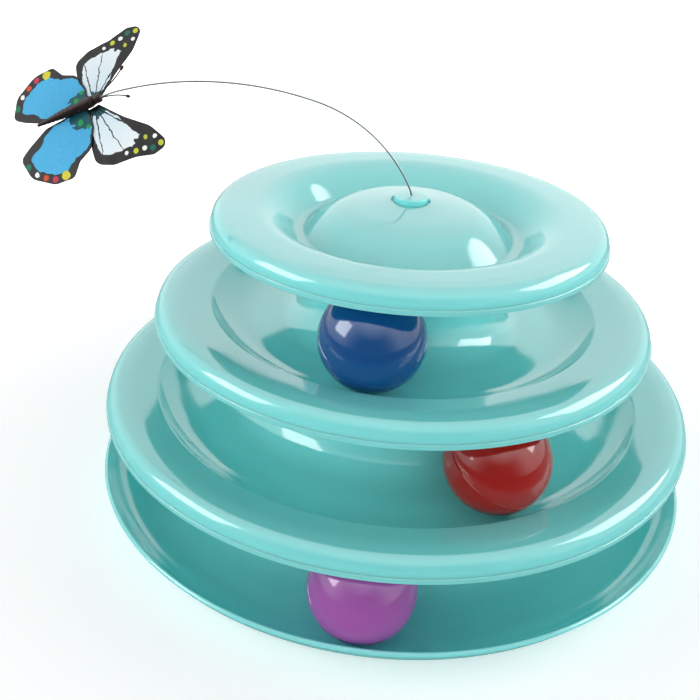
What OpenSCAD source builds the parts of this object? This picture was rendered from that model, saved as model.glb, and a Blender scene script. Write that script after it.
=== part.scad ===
// Three-tier ball track for a cat: stacked moulded track rings, a trapped ball in each
// tier, and a butterfly on a spring wire. Millimetres, +Z up, origin on the tower's axis
// at the surface it stands on.

/* [Tower] */
// Outer radius of the lowest brim
rim_r = 125; // [118:1:140]
// Wall of every moulding
wall = 2; // [1.6:0.1:2.4]
// How much more each brim steps in than a ball's radius
step_margin = 1.8; // [1.6:0.1:3]
// How far the non-slip pads stand proud of the base
pad_proud = 0.2; // [0.1:0.05:0.3]

/* [Balls] */
// Outside diameter of a ball
ball_d = 40; // [36:1:44]
// Wall of a ball's two shells
ball_wall = 1.5; // [1.2:0.1:2]
// Running gap between a ball and its track
ball_gap = 0.3; // [0.2:0.05:0.5]
// Direction of the lowest ball, from the front towards the right
purple_angle = -3; // [-180:1:180]
// Direction of the middle ball
red_angle = 28; // [-180:1:180]
// Direction of the upper ball
blue_angle = -9; // [-180:1:180]

/* [Brim] */
// Height of a brim's lower edge above the top of the ball under it
head_room = 1.1; // [0.8:0.1:2]
// Height of the rolled rim
rim_h = 8.2; // [7.6:0.1:10]
// Radius of the rolled rim
rim_f = 5.4; // [4:0.1:6]
// Height of a brim's inner lip above its lower edge
lip_h = 6; // [5:0.1:7]
// Width of the bead round a brim's lower edge
bead_w = 0.7; // [0.4:0.1:1.2]
// Height of that bead
bead_h = 2.2; // [1.6:0.1:2.8]

/* [Track] */
// How far a track's floor lies below the lower edge of its own brim
track_sink = 2.7; // [2:0.1:3.4]
// Height of the base's outer lip above its floor
base_lip_h = 12.4; // [10:0.1:14]
// Width from a track's lip to the foot of its hub, more than a ball's diameter
track_spare = 2; // [0:0.5:4]
// How much a hub leans in from foot to top
hub_lean = 4; // [2:0.5:6]

/* [Cover] */
// How much smaller the top brim is than its step
cover_inset = 1.25; // [0:0.05:2]
// How much lower the top brim sits than its step
cover_drop = 0.6; // [0:0.1:1]
// Radius of the wire's plug
cap_r = 6.8; // [6.2:0.1:7.6]
// Height of the plug's cap over the floor of its recess
cap_h = 3.3; // [2.8:0.1:4]

/* [Teaser] */
// Radius of the spring wire
wire_r = 0.35; // [0.3:0.05:0.5]
// Thickness of the film wings
film_t = 0.4; // [0.3:0.1:0.6]
// Roll of the butterfly about its body
butterfly_bank = 50; // [0:1:90]
// How far its wings droop
wing_droop = 6; // [0:1:20]

/* [Hidden] */
$fn = 96;
RING_COLOUR = [0.62, 0.86, 0.85];
BLACK = [0.08, 0.08, 0.09];

// Clearances shared by every fit
seat_gap = 0.3;
collar_clear = 0.3;
turn_clear = 0.08;
touch = 0.05;
overrun = 1;

// Corner sizes shared by the mouldings
arc_step = 6;
edge_share = 0.4;
edge_f = wall * edge_share;
tiny_f = 0.2;

// Heights and radii of the three tiers, counted from 0 at the bottom
TIERS = 3;
ball_r = ball_d / 2;
tier_pitch = ball_d + head_room - track_sink;
tier_step = ball_r + step_margin;
ball_proud = 1;
function is_top(tier) = tier == TIERS - 1 ? 1 : 0;
function brim_r(tier) = rim_r - tier * tier_step - is_top(tier) * cover_inset;
function floor_z(tier) = pad_proud + wall + tier * tier_pitch;
function brim_z(tier) = floor_z(tier) + ball_d + head_room - is_top(tier) * cover_drop;
function orbit_r(tier) = brim_r(tier) - ball_r + ball_proud;

// Brim section
crown_share = 0.4266;
crown_in = tier_step * crown_share;
crown_h = 8.7;
crown_round_share = 0.9;
crown_f = tier_step * crown_round_share;
lip_f = 1.1;
bead_f = 0.5;

// Track section
dish_share = 0.38;
dish_run = ball_r * dish_share;
groove_spare = 2;
groove_f = ball_r + groove_spare;
base_lip_out = 1.6;
base_run = 8.4;
base_groove_f = ball_r;
hub_foot_f = 16;
hub_edge_f = 2.5;
track_w = ball_d + track_spare;
function hub_foot_r(tier) = brim_r(tier) - track_w;
function hub_top_r(tier) = hub_foot_r(tier) - hub_lean;
function hub_top_z(tier) = floor_z(tier) + tier_pitch - wall - seat_gap;

// Socket in each hub's top, and the collar that plugs into it
socket_in = 6;
socket_h = 6.5;
socket_f = 0.8;
collar_h = 6;
key_count = 3;
key_w = 8;
key_out = 2;
function socket_r(tier) = hub_top_r(tier) - socket_in;
function collar_r(tier) = socket_r(tier - 1) - collar_clear;

// Cover section, measured from the top brim's radius and lower edge. The well's corner just
// clears the upper ball, and the dome fills what is left
cover_r = brim_r(TIERS - 1);
cover_z = brim_z(TIERS - 1);
well_sink = 3.5;
well_clear = 0.72;
well_up = ball_r + head_room - cover_drop - ball_gap - well_sink - wall;
well_in = ball_r - ball_proud + sqrt(pow(ball_r + well_clear, 2) - pow(well_up, 2));
well_f = 6.8;
crest_share = 0.6845;
crest_in = well_in * crest_share;
crest_h = 8.5;
crest_f = 16;
dome_gap = 5.9;
dome_r = cover_r - well_in - dome_gap;
dome_h = 11.7;
shoulder_h = 9.9;
recess_gap = 1;
recess_depth = 1.2;
recess_f = 0.5;
recess_r = cap_r + recess_gap;
recess_z = cover_z + dome_h - recess_depth;
dome_run = dome_r - recess_r;
shoulder_share = 0.66;
shoulder_r = recess_r + dome_run * shoulder_share;
shoulder_round_share = 0.8;
shoulder_f = dome_run * shoulder_round_share;
foot_round_share = 0.11;
dome_foot_f = dome_run * foot_round_share;
gusset_count = 6;
gusset_t = 1.6;
gusset_run = 4.5;

// Plug of the wire
skirt_share = 0.52;
skirt_r = cap_r * skirt_share;
skirt_t = 1.1;
barb_out = 0.7;
barb_h = 1.6;
barb_lean = 0.3;
slot_count = 4;
slot_w = 1.2;
cap_t = 1.8;
cap_f = 0.7;
cap_fall = 0.2;
hole_clear = 0.1;
hole_flare = 0.6;
plug_z = recess_z + turn_clear;
pivot_z = plug_z + cap_h - cap_t / 2;

// Non-slip pads
pad_count = 6;
pad_r = 4.5;
pad_t = 1.2;
pad_clear = 0.1;
pad_in = 22.7;
pad_orbit = rim_r - pad_in;

// Balls: stepped seam between the two half shells
lap_t = 0.7;
lap_h = 1.5;
seam_f = 0.3;
SEAM_ANGLES = [24, 18, 0];

// Spring wire: a straight foot, then arcs of [radius as a share of wire_bend, turn], then
// a straight tip
wire_foot = 4.6;
wire_rise = 0.3;
wire_tip = 2.5;
wire_bend = 100;
WIRE_SHARES = [[0.0575, 25], [0.6, 50], [1.4, 32], [0.48, 9.5]];
WIRE_START = [0, pivot_z + wire_rise];
nick_share = 1.04;
nick_l = 0.5;
UP = 90;
HALF_TURN = 180;
ferrule_r = 0.75;
ferrule_h = 2;
ferrule_clear = 0.03;
ferrule_drop = 1.9;

// Butterfly, in its own frame: x towards its head, y to its left, z out of its back
head_r = 1.7;
thorax_r = 2.2;
thorax_x = -6.6;
thorax_run = 4.2;
waist_r = 1.5;
thorax_f = 1;
belly_r = 1.9;
belly_x = -16;
belly_f = 20;
tail_x = -30;
tail_r = 0.5;
bore_clear = 0.05;
antenna_r = 0.25;
antenna_bend = 30;
antenna_turn = 28;
antenna_knob_r = 0.6;
antenna_splay = 8;
antenna_rise = 6;
antenna_root = 1.2;
ANTENNA_SHARES = [-0.5, 0.5, 0.5];

// Corners of the wings as shares of wing_size: [x, y, rounding]
wing_size = 50;
FOREWING_SHARES = [
    [-0.16, 0.03, 0.01], [-0.06, 0.02, 0.01], [0.12, 0.2, 0.24], [0.31, 0.35, 0.16],
    [0.43, 0.54, 0.06], [0.28, 0.58, 0.06], [0.12, 0.54, 0.12], [-0.08, 0.53, 0.12],
    [-0.22, 0.47, 0.08], [-0.22, 0.34, 0.12]];
HINDWING_SHARES = [
    [-0.18, 0.01, 0.01], [-0.15, 0.03, 0.01], [-0.15, 0.18, 0.08], [-0.22, 0.34, 0.08],
    [-0.34, 0.4, 0.04], [-0.42, 0.51, 0.06], [-0.6, 0.5, 0.12], [-0.79, 0.38, 0.12],
    [-0.85, 0.19, 0.06], [-0.74, 0.12, 0.08], [-0.56, 0.03, 0.12], [-0.3, 0.01, 0.06]];

// Plane geometry
function unit(v) = v / norm(v);
function left_of(v) = [-v.y, v.x];
function flat(p) = [p.x, p.y];
function reversed(list) = [for (k = [len(list) - 1:-1:0]) list[k]];

// Points of the arc of radius f that rounds the corner b between a and c
function corner(a, b, c, f) =
    let (
        back = unit(a - b),
        ahead = unit(c - b),
        half = acos(back * ahead) / 2,
        turn = HALF_TURN - 2 * half,
        side = sign(cross(b - a, c - b)),
        start = b + back * f / tan(half),
        centre = start - side * left_of(back) * f,
        from = atan2(start.y - centre.y, start.x - centre.x),
        steps = max(2, ceil(turn / arc_step))
    )
    f == 0 || side == 0
        ? [b]
        : [for (k = [0:steps])
            centre + f * [cos(from + side * turn * k / steps), sin(from + side * turn * k / steps)]];

// Closed outline through corners given as [x, y, rounding]
function rounded(path) =
    let (n = len(path))
    [for (k = [0:n - 1])
        each corner(flat(path[(k + n - 1) % n]), flat(path[k]), flat(path[(k + 1) % n]), path[k].z)];

// The same open path moved d to its left, with each rounding kept parallel
function shifted(path, d) =
    let (n = len(path))
    [for (k = [0:n - 1])
        let (
            ahead = flat(path[min(k + 1, n - 1)]) - flat(path[min(k, n - 2)]),
            back = flat(path[max(k, 1)]) - flat(path[max(k - 1, 0)]),
            side = cross(back, ahead),
            na = left_of(unit(ahead)),
            nb = left_of(unit(back)),
            at = flat(path[k]) + d * (na + nb) / (1 + na * nb),
            f = side > 0 ? max(path[k].z - d, tiny_f) : path[k].z + d
        )
        [at.x, at.y, k == 0 || k == n - 1 ? path[k].z : f]];

// Section of a wall of thickness t, laid on the left of a path of its visible face
function wall_section(path, t) = rounded(concat(path, reversed(shifted(path, t))));

// Visible face of a brim: rolled rim, then the crown
function brim_face(tier) =
    let (r = brim_r(tier) - bead_w, z = brim_z(tier))
    [[r, z, edge_f], [r, z + rim_h, rim_f], [r - crown_in, z + crown_h, crown_f]];

// Visible face of a track from its outer wall's foot to the hub's socket
function track_face(tier, foot_r, foot_f) = [
    [foot_r, floor_z(tier), foot_f],
    [hub_foot_r(tier), floor_z(tier), hub_foot_f],
    [hub_top_r(tier), hub_top_z(tier), hub_edge_f],
    [socket_r(tier), hub_top_z(tier), socket_f],
    [socket_r(tier), hub_top_z(tier) - socket_h, edge_f]];

function ring_face(tier) =
    let (lip_r = brim_r(tier))
    concat(
        brim_face(tier - 1),
        [[lip_r, brim_z(tier - 1) + lip_h, lip_f]],
        track_face(tier, lip_r - dish_run, groove_f));

function base_face() =
    let (lip_r = brim_r(0) + base_lip_out)
    concat(
        [[lip_r, floor_z(0) + base_lip_h, edge_f]],
        track_face(0, lip_r - base_run, base_groove_f));

function cover_face() =
    concat(brim_face(TIERS - 1), [
        [cover_r - crest_in, cover_z + crest_h, crest_f],
        [cover_r - well_in, cover_z - well_sink, well_f],
        [dome_r, cover_z - well_sink, dome_foot_f],
        [shoulder_r, cover_z + shoulder_h, shoulder_f],
        [recess_r, cover_z + dome_h, recess_f],
        [recess_r, recess_z, tiny_f],
        [skirt_r + turn_clear, recess_z, tiny_f]]);

// Bead round the lower edge of a brim
module bead_section(tier) {
    r = brim_r(tier);
    z = brim_z(tier);
    in = r - bead_w - wall / 2;
    polygon(rounded([[in, z, 0], [r, z, bead_f], [r, z + bead_h, bead_f], [in, z + bead_h, 0]]));
}

// Collar under a moulding, down into the socket of the hub below
module collar_section(tier, top_z) {
    r = collar_r(tier);
    low = hub_top_z(tier - 1) + seat_gap - collar_h;
    polygon(rounded([[r - wall, low, edge_f], [r, low, edge_f], [r, top_z, 0], [r - wall, top_z, 0]]));
}

// Blocks at equal angles, from radius in to radius out
module key_blocks(in, out, width, low, high) {
    for (k = [0:key_count - 1])
        rotate([0, 0, 360 / key_count * k])
            translate([in, -width / 2, low])
                cube([out - in, width, high - low]);
}

module key_slots(tier) {
    key_blocks(0, socket_r(tier) + key_out + collar_clear,
        key_w + 2 * collar_clear, hub_top_z(tier) - socket_h - overrun, hub_top_z(tier) + overrun);
}

module keys(tier, top_z) {
    key_blocks(collar_r(tier) - wall / 2, collar_r(tier) + key_out,
        key_w, hub_top_z(tier - 1) + seat_gap - collar_h + edge_f, top_z);
}

module base_track() {
    color(RING_COLOUR)
        difference() {
            rotate_extrude() polygon(wall_section(base_face(), wall));
            key_slots(0);
            for (k = [1:pad_count])
                pad_place(k)
                    translate([0, 0, -overrun])
                        cylinder(r = pad_r + pad_clear, h = overrun + pad_t);
        }
}

module track_ring(tier) {
    underside = floor_z(tier) - wall / 2;
    color(RING_COLOUR)
        difference() {
            union() {
                rotate_extrude() {
                    polygon(wall_section(ring_face(tier), wall));
                    bead_section(tier - 1);
                    collar_section(tier, underside);
                }
                keys(tier, underside);
            }
            key_slots(tier);
        }
}

module lower_ring() {
    track_ring(1);
}

module middle_ring() {
    track_ring(2);
}

// Mid-thickness face of the cover, closed down to the collar's level
module under_dome(low) {
    face = shifted(cover_face(), wall / 2);
    last = len(face) - 1;
    span = [for (k = [4:last]) face[k]];
    polygon(rounded(concat(span, [[0, face[last].y, 0], [0, low, 0], [face[4].x, low, 0]])));
}

module gussets(low) {
    in = collar_r(TIERS) - wall / 2;
    out = collar_r(TIERS) + gusset_run;
    for (k = [0:gusset_count - 1])
        rotate([90, 0, 360 / gusset_count * (k + 1 / 2)])
            translate([0, 0, -gusset_t / 2])
                linear_extrude(gusset_t)
                    intersection() {
                        under_dome(low);
                        translate([in, low]) square([out - in, shoulder_f]);
                    }
}

module top_cover() {
    seat = hub_top_z(TIERS - 1) + seat_gap;
    color(RING_COLOUR) {
        rotate_extrude() {
            polygon(wall_section(cover_face(), wall));
            bead_section(TIERS - 1);
            intersection() {
                collar_section(TIERS, cover_z + dome_h);
                under_dome(seat - collar_h - overrun);
            }
        }
        gussets(seat);
        keys(TIERS, seat + collar_h);
    }
}

// One shell of a ball: a half sphere with a stepped seam
module ball_shell(upper) {
    inner = ball_r - ball_wall;
    lap_r = inner + lap_t;
    rotate_extrude()
        if (upper)
            difference() {
                intersection() {
                    difference() {
                        circle(r = ball_r);
                        circle(r = inner);
                    }
                    polygon([[0, 0], [ball_r - seam_f, 0], [ball_r, seam_f], [ball_r, ball_r], [0, ball_r]]);
                }
                square([lap_r + touch, lap_h + touch]);
            }
        else {
            intersection() {
                difference() {
                    circle(r = ball_r);
                    circle(r = inner);
                }
                polygon([[0, 0], [ball_r - seam_f, 0], [ball_r, -seam_f], [ball_r, -ball_r], [0, -ball_r]]);
            }
            translate([lap_r - lap_t - touch, -lap_h]) square([lap_t + touch, 2 * lap_h]);
        }
}

module ball_place(tier, angle) {
    rotate([0, 0, angle])
        translate([0, -orbit_r(tier), floor_z(tier) + ball_gap + ball_r])
            rotate(SEAM_ANGLES)
                children();
}

module purple_ball(upper) {
    color([0.66, 0.36, 0.68]) ball_place(0, purple_angle) ball_shell(upper);
}

module red_ball(upper) {
    color([0.72, 0.09, 0.08]) ball_place(1, red_angle) ball_shell(upper);
}

module blue_ball(upper) {
    color([0.05, 0.29, 0.62]) ball_place(2, blue_angle) ball_shell(upper);
}

// Snap-in plug that holds the wire's foot, with sprung fingers under the cover
module teaser_plug() {
    barb_top = -wall - 2 * turn_clear;
    barb_low = barb_top - barb_h;
    skirt_in = skirt_r - skirt_t;
    hole_r = wire_r + hole_clear;
    section = [
        [hole_r + hole_flare, cap_h, tiny_f], [cap_r, cap_h - cap_fall, cap_f],
        [cap_r, 0, tiny_f], [skirt_r, 0, 0], [skirt_r, barb_top, 0],
        [skirt_r + barb_out, barb_top, tiny_f], [skirt_r - barb_lean, barb_low, tiny_f],
        [skirt_in, barb_low, tiny_f], [skirt_in, cap_h - cap_t, tiny_f],
        [hole_r + hole_flare, cap_h - cap_t, 0], [hole_r, cap_h - cap_t / 2, 0]];
    color(RING_COLOUR)
        translate([0, 0, plug_z])
            difference() {
                rotate_extrude() polygon(rounded(section));
                for (k = [0:slot_count - 1])
                    rotate([0, 0, 360 / slot_count * (k + 1 / 2)])
                        translate([0, -slot_w / 2, barb_low - overrun])
                            cube([cap_r, slot_w, overrun - barb_low - wall / 2]);
            }
}

// Where the wire has got to, and its heading, after its first k arcs
function wire_turned(k) = k == 0 ? UP : wire_turned(k - 1) + WIRE_SHARES[k - 1][1];
function wire_at(k) =
    k == 0
        ? WIRE_START
        : let (
            r = wire_bend * WIRE_SHARES[k - 1][0],
            from = wire_turned(k - 1),
            to = wire_turned(k)
        )
        wire_at(k - 1) + r * [sin(to) - sin(from), cos(from) - cos(to)];
wire_bends = len(WIRE_SHARES);
wire_end = wire_at(wire_bends);
wire_heading = wire_turned(wire_bends);

// Steel spring wire in the plane of the X and Z axes
module teaser_wire() {
    color([0.45, 0.45, 0.47]) {
        translate([0, 0, pivot_z - wire_foot])
            cylinder(r = wire_r, h = wire_foot + wire_rise);
        for (k = [0:wire_bends - 1]) {
            r = wire_bend * WIRE_SHARES[k][0];
            at = wire_at(k);
            heading = wire_turned(k);
            short = touch / r * 2 * UP / PI;
            translate([at.x - r * sin(heading), 0, at.y + r * cos(heading)])
                rotate([UP, 0, 0])
                    rotate([0, 0, heading - UP + short])
                        rotate_extrude(angle = WIRE_SHARES[k][1] - 2 * short)
                            translate([r, 0])
                                circle(r = wire_r);
        }
        // The former leaves a slight nick where one bend runs into the next
        for (k = [0:wire_bends])
            translate([wire_at(k).x, 0, wire_at(k).y])
                rotate([0, UP - wire_turned(k), 0])
                    cylinder(r = wire_r * nick_share, h = nick_l, center = true);
        translate([wire_end.x, 0, wire_end.y])
            rotate([0, UP - wire_heading, 0])
                cylinder(r = wire_r, h = wire_tip);
    }
}

// Crimped sleeve that keeps the wire from pulling out of the plug
module wire_ferrule() {
    color([0.7, 0.7, 0.72])
        translate([0, 0, pivot_z - ferrule_drop - ferrule_h])
            difference() {
                cylinder(r = ferrule_r, h = ferrule_h);
                translate([0, 0, -overrun])
                    cylinder(r = wire_r + ferrule_clear, h = ferrule_h + 2 * overrun);
            }
}

// Puts a piece drawn in the butterfly's frame on the end of the wire
module on_wire() {
    translate([wire_end.x, 0, wire_end.y])
        rotate([butterfly_bank, 2 * UP - wire_heading, 0])
            children();
}

module butterfly_body() {
    section = [
        [0, 0, 0], [head_r, 0, head_r * edge_share], [head_r, -2 * head_r, head_r * edge_share],
        [waist_r, -2 * head_r, tiny_f], [thorax_r, thorax_x + thorax_run / 2, thorax_f],
        [thorax_r, thorax_x - thorax_run / 2, thorax_f], [waist_r, thorax_x - thorax_run, tiny_f],
        [belly_r, belly_x, belly_f], [tail_r, tail_x, tiny_f], [0, tail_x, 0]];
    color(BLACK)
        on_wire()
            difference() {
                rotate([0, UP, 0])
                    difference() {
                        rotate_extrude() polygon(rounded(section));
                        translate([0, 0, -wire_tip - touch])
                            cylinder(r = wire_r + bore_clear, h = wire_tip + overrun);
                    }
                for (side = [1, -1])
                    antenna_place(side)
                        rotate([0, UP, 0])
                            translate([0, 0, -bore_clear])
                                cylinder(r = antenna_r + bore_clear, h = antenna_root);
            }
}

// Where an antenna's root sits in the head
module antenna_place(side) {
    mirror([0, side > 0 ? 0 : 1, 0])
        translate(head_r * ANTENNA_SHARES)
            rotate([0, -antenna_rise, antenna_splay])
                children();
}

module antenna(side) {
    color(BLACK)
        on_wire()
            antenna_place(side)
                translate([0, antenna_bend, 0])
                    rotate([0, 0, -UP]) {
                        rotate_extrude(angle = antenna_turn)
                            translate([antenna_bend, 0])
                                circle(r = antenna_r);
                        rotate([0, 0, antenna_turn])
                            translate([antenna_bend, 0, 0])
                                sphere(r = antenna_knob_r);
                    }
}

// One film wing, lift above the body's axis
module wing(shares, side, lift) {
    on_wire()
        mirror([0, side > 0 ? 0 : 1, 0])
            rotate([-wing_droop, 0, 0])
                translate([0, 0, lift])
                    linear_extrude(film_t)
                        polygon(rounded(wing_size * shares));
}

module forewing(side) {
    color([0.86, 0.93, 0.96]) wing(FOREWING_SHARES, side, -thorax_r - 2 * film_t - 2 * touch);
}

module hindwing(side) {
    color([0.25, 0.68, 0.9]) wing(HINDWING_SHARES, side, -thorax_r - film_t - touch);
}

module pad_place(k) {
    rotate([0, 0, 360 / pad_count * k])
        translate([pad_orbit, 0, 0])
            children();
}

module foot_pad(k) {
    color([0.2, 0.2, 0.2]) pad_place(k) cylinder(r = pad_r, h = pad_t);
}

base_track();
lower_ring();
middle_ring();
top_cover();
for (upper = [true, false]) {
    half = upper ? "upper" : "lower";
    purple_ball(upper);
    red_ball(upper);
    blue_ball(upper);
}
teaser_plug();
teaser_wire();
wire_ferrule();
butterfly_body();
for (side = [1, -1]) {
    hand = side > 0 ? "left" : "right";
    antenna(side);
    forewing(side);
    hindwing(side);
}
for (k = [1:pad_count])
    foot_pad(k);
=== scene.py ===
"""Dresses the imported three-tier ball track for a cat: mouldings, balls and the butterfly on its wire.

Lengths in the classes are millimetres in the frame's own axes (+Z up, the camera towards -Y); they turn
into metres when a mesh is made. Each moulding has its solid's section, wall and fits. Only the cover's well
and dome and the inner lip of each track are rounded a little further, for the look of their highlights.
"""

from __future__ import annotations

import logging
import math
from dataclasses import dataclass, field
from enum import Enum, IntEnum
from typing import Any, Iterable, Mapping, Sequence

import bmesh
import bpy
import numpy as np
from mathutils import Matrix, Vector
from mathutils.geometry import delaunay_2d_cdt

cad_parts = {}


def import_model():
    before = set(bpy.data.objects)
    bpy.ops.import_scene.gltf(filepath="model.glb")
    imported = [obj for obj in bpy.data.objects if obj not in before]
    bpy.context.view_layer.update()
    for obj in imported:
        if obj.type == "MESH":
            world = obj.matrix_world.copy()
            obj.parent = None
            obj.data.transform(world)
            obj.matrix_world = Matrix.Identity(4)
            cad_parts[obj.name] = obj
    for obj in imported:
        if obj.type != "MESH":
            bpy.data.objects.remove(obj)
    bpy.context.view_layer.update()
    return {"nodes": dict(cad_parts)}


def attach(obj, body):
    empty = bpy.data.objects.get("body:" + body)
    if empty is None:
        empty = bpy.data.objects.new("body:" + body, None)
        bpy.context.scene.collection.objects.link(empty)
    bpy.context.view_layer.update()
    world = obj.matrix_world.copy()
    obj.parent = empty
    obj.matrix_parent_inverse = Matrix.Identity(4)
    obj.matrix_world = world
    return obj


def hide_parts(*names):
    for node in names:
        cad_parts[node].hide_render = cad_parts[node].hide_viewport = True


LOG = logging.getLogger("ball_track")

# A millimetre in metres, a quarter turn, and the angle up to which shading stays smooth, in degrees
MM = 0.001
QUARTER = 90.0
SHARP = 32.0

Corner = tuple[float, float, float]
Pair = tuple[float, float]
Plane = np.ndarray


class Tier(IntEnum):
    """The three tracks, counted from the ground."""

    LOWER = 0
    MIDDLE = 1
    UPPER = 2


class Half(Enum):
    """The two shells of a ball."""

    UPPER = "upper"
    LOWER = "lower"


class Side(Enum):
    """The butterfly's own left and right."""

    LEFT = "left"
    RIGHT = "right"

    @property
    def mirror(self) -> Matrix:
        """The matrix that puts a left-hand piece on this side."""
        return Matrix.Diagonal((1, 1 if self is Side.LEFT else -1, 1, 1))


# ---- Plane geometry of the moulded sections


def unit(v: Plane) -> Plane:
    """The vector at length one."""
    return v / np.hypot(*v)


def left_of(v: Plane) -> Plane:
    """The vector a quarter turn to the left."""
    return np.array([-v[1], v[0]])


def cross(a: Plane, b: Plane) -> float:
    """The plane cross product of two vectors."""
    return float(a[0] * b[1] - a[1] * b[0])


def round_corner(a: Plane, b: Plane, c: Plane, f: float, step: float) -> list[Plane]:
    """Points of the arc that rounds a corner.

    Args:
        a: The point before the corner.
        b: The corner.
        c: The point after it.
        f: The arc's radius; 0 keeps the corner sharp.
        step: The arc's step in degrees.

    Returns:
        The arc's points, or the corner alone.
    """
    back, ahead = unit(a - b), unit(c - b)
    half = math.acos(float(np.clip(back @ ahead, -1, 1))) / 2
    turn = math.pi - 2 * half
    side = np.sign(cross(b - a, c - b))
    if f == 0 or turn < 1e-6:
        return [b]
    start = b + back * f / math.tan(half)
    centre = start - side * left_of(back) * f
    first = math.atan2(*(start - centre)[::-1])
    steps = max(2, math.ceil(math.degrees(turn) / step))
    angles = first + side * turn * np.arange(steps + 1) / steps
    return [centre + f * np.array([math.cos(t), math.sin(t)]) for t in angles]


def rounded(path: Sequence[Corner], step: float = 4.0) -> Plane:
    """A closed outline through corners given as (x, y, rounding)."""
    points: list[Plane] = []
    for k, (x, y, f) in enumerate(path):
        before, after = path[k - 1], path[(k + 1) % len(path)]
        points += round_corner(np.array(before[:2]), np.array([x, y]), np.array(after[:2]), f, step)
    return np.array(points)


def shifted(path: Sequence[Corner], d: float, least: float) -> list[Corner]:
    """The same open path moved to its left, with each rounding kept parallel.

    Args:
        path: Corners as (x, y, rounding).
        d: How far it moves.
        least: The smallest rounding that a corner keeps.

    Returns:
        The moved corners.
    """
    last = len(path) - 1
    flat = [np.array(p[:2]) for p in path]
    moved: list[Corner] = []
    for k, (_, _, f) in enumerate(path):
        ahead = flat[min(k + 1, last)] - flat[min(k, last - 1)]
        back = flat[max(k, 1)] - flat[max(k - 1, 0)]
        na, nb = left_of(unit(ahead)), left_of(unit(back))
        x, y = flat[k] + d * (na + nb) / (1 + na @ nb)
        inner = max(f - d, least) if cross(back, ahead) > 0 else f + d
        moved.append((float(x), float(y), f if k in (0, last) else inner))
    return moved


def wall_section(path: Sequence[Corner], t: float, least: float) -> Plane:
    """The section of a wall of thickness t on the left of its visible face."""
    return rounded([*path, *reversed(shifted(path, t, least))])


def closely_spaced(outline: Plane, gap: float) -> Plane:
    """The closed outline with points added where its sides are longer than gap."""
    points: list[Plane] = []
    for a, b in zip(outline, np.roll(outline, -1, axis=0)):
        count = max(1, math.ceil(float(np.hypot(*(b - a))) / gap))
        points += [a + (b - a) * k / count for k in range(count)]
    return np.array(points)


# ---- Node and mesh helpers


def add_node(
    tree: bpy.types.NodeTree,
    kind: str,
    inputs: Mapping[int | str, Any] | None = None,
    **settings: Any,
) -> bpy.types.Node:
    """Adds one node with its settings and links.

    Args:
        tree: The tree it goes into.
        kind: The node's type.
        inputs: For each input, by name or place, a socket to link or a value to set.
        **settings: Properties of the node itself.

    Returns:
        The new node.
    """
    node = tree.nodes.new(kind)
    for name, value in settings.items():
        setattr(node, name, value)
    for key, value in (inputs or {}).items():
        if isinstance(value, bpy.types.NodeSocket):
            tree.links.new(value, node.inputs[key])
        else:
            node.inputs[key].default_value = value
    return node


def linear(code: str) -> tuple[float, float, float, float]:
    """The linear colour of an sRGB hex code such as "#7fd3cf"."""
    parts = [int(code[k : k + 2], 16) / 255 for k in (1, 3, 5)]
    r, g, b = (v / 12.92 if v <= 0.04045 else ((v + 0.055) / 1.055) ** 2.4 for v in parts)
    return (r, g, b, 1.0)


def new_material(name: str) -> tuple[bpy.types.Material, bpy.types.NodeTree]:
    """A new material and its empty node tree."""
    material = bpy.data.materials.new(name)
    material.use_nodes = True
    material.node_tree.nodes.clear()
    return material, material.node_tree


def maths(tree: bpy.types.NodeTree, operation: str, *values: Any) -> bpy.types.NodeSocket:
    """One step of arithmetic."""
    return add_node(tree, "ShaderNodeMath", dict(enumerate(values)), operation=operation).outputs[0]


def vector_maths(tree: bpy.types.NodeTree, operation: str, *values: Any) -> bpy.types.NodeSocket:
    """One step with vectors; a length or a dot product comes out as a number."""
    node = add_node(tree, "ShaderNodeVectorMath", dict(enumerate(values)), operation=operation)
    return node.outputs["Value" if operation in ("LENGTH", "DOT_PRODUCT") else "Vector"]


def blend(tree: bpy.types.NodeTree, share: Any, under: Any, over: Any) -> bpy.types.NodeSocket:
    """One colour laid over another by a share of 0 to 1."""
    return add_node(tree, "ShaderNodeMix", {0: share, 6: under, 7: over}, data_type="RGBA").outputs[2]


def noise(tree: bpy.types.NodeTree, place: Any, scale: float, detail: float) -> bpy.types.NodeSocket:
    """Noise of 0 to 1, with `scale` grains to a unit of the place."""
    inputs = {"Vector": place, "Scale": scale, "Detail": detail}
    return add_node(tree, "ShaderNodeTexNoise", inputs).outputs["Fac"]


def relief(
    tree: bpy.types.NodeTree, strength: float, depth_mm: float, height: Any, **inputs: Any
) -> bpy.types.NodeSocket:
    """A bump from a height of 0 to 1; `Normal` may name the bump that it lies on."""
    sizes = {"Strength": strength, "Distance": depth_mm * MM, "Height": height}
    return add_node(tree, "ShaderNodeBump", {**sizes, **inputs}).outputs[0]


def remap(
    tree: bpy.types.NodeTree,
    value: Any,
    before: Sequence[Any],
    after: Sequence[Any] = (0.0, 1.0),
    **settings: Any,
) -> bpy.types.NodeSocket:
    """Carries a value from one range to another and holds it at the second one's ends.

    Args:
        tree: The tree it goes into.
        value: The socket to carry over.
        before: Where it starts and ends.
        after: What it is there.
        **settings: Properties of the node itself.

    Returns:
        The new value's socket.
    """
    ends = {"From Min": before[0], "From Max": before[1], "To Min": after[0], "To Max": after[1]}
    return add_node(tree, "ShaderNodeMapRange", {"Value": value, **ends}, **settings).outputs[0]


def surface(tree: bpy.types.NodeTree, shader: str, inputs: Mapping[str | int, Any]) -> None:
    """Ends a material's tree with its shader."""
    add_node(tree, "ShaderNodeOutputMaterial", {"Surface": add_node(tree, shader, inputs).outputs[0]})


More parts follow.
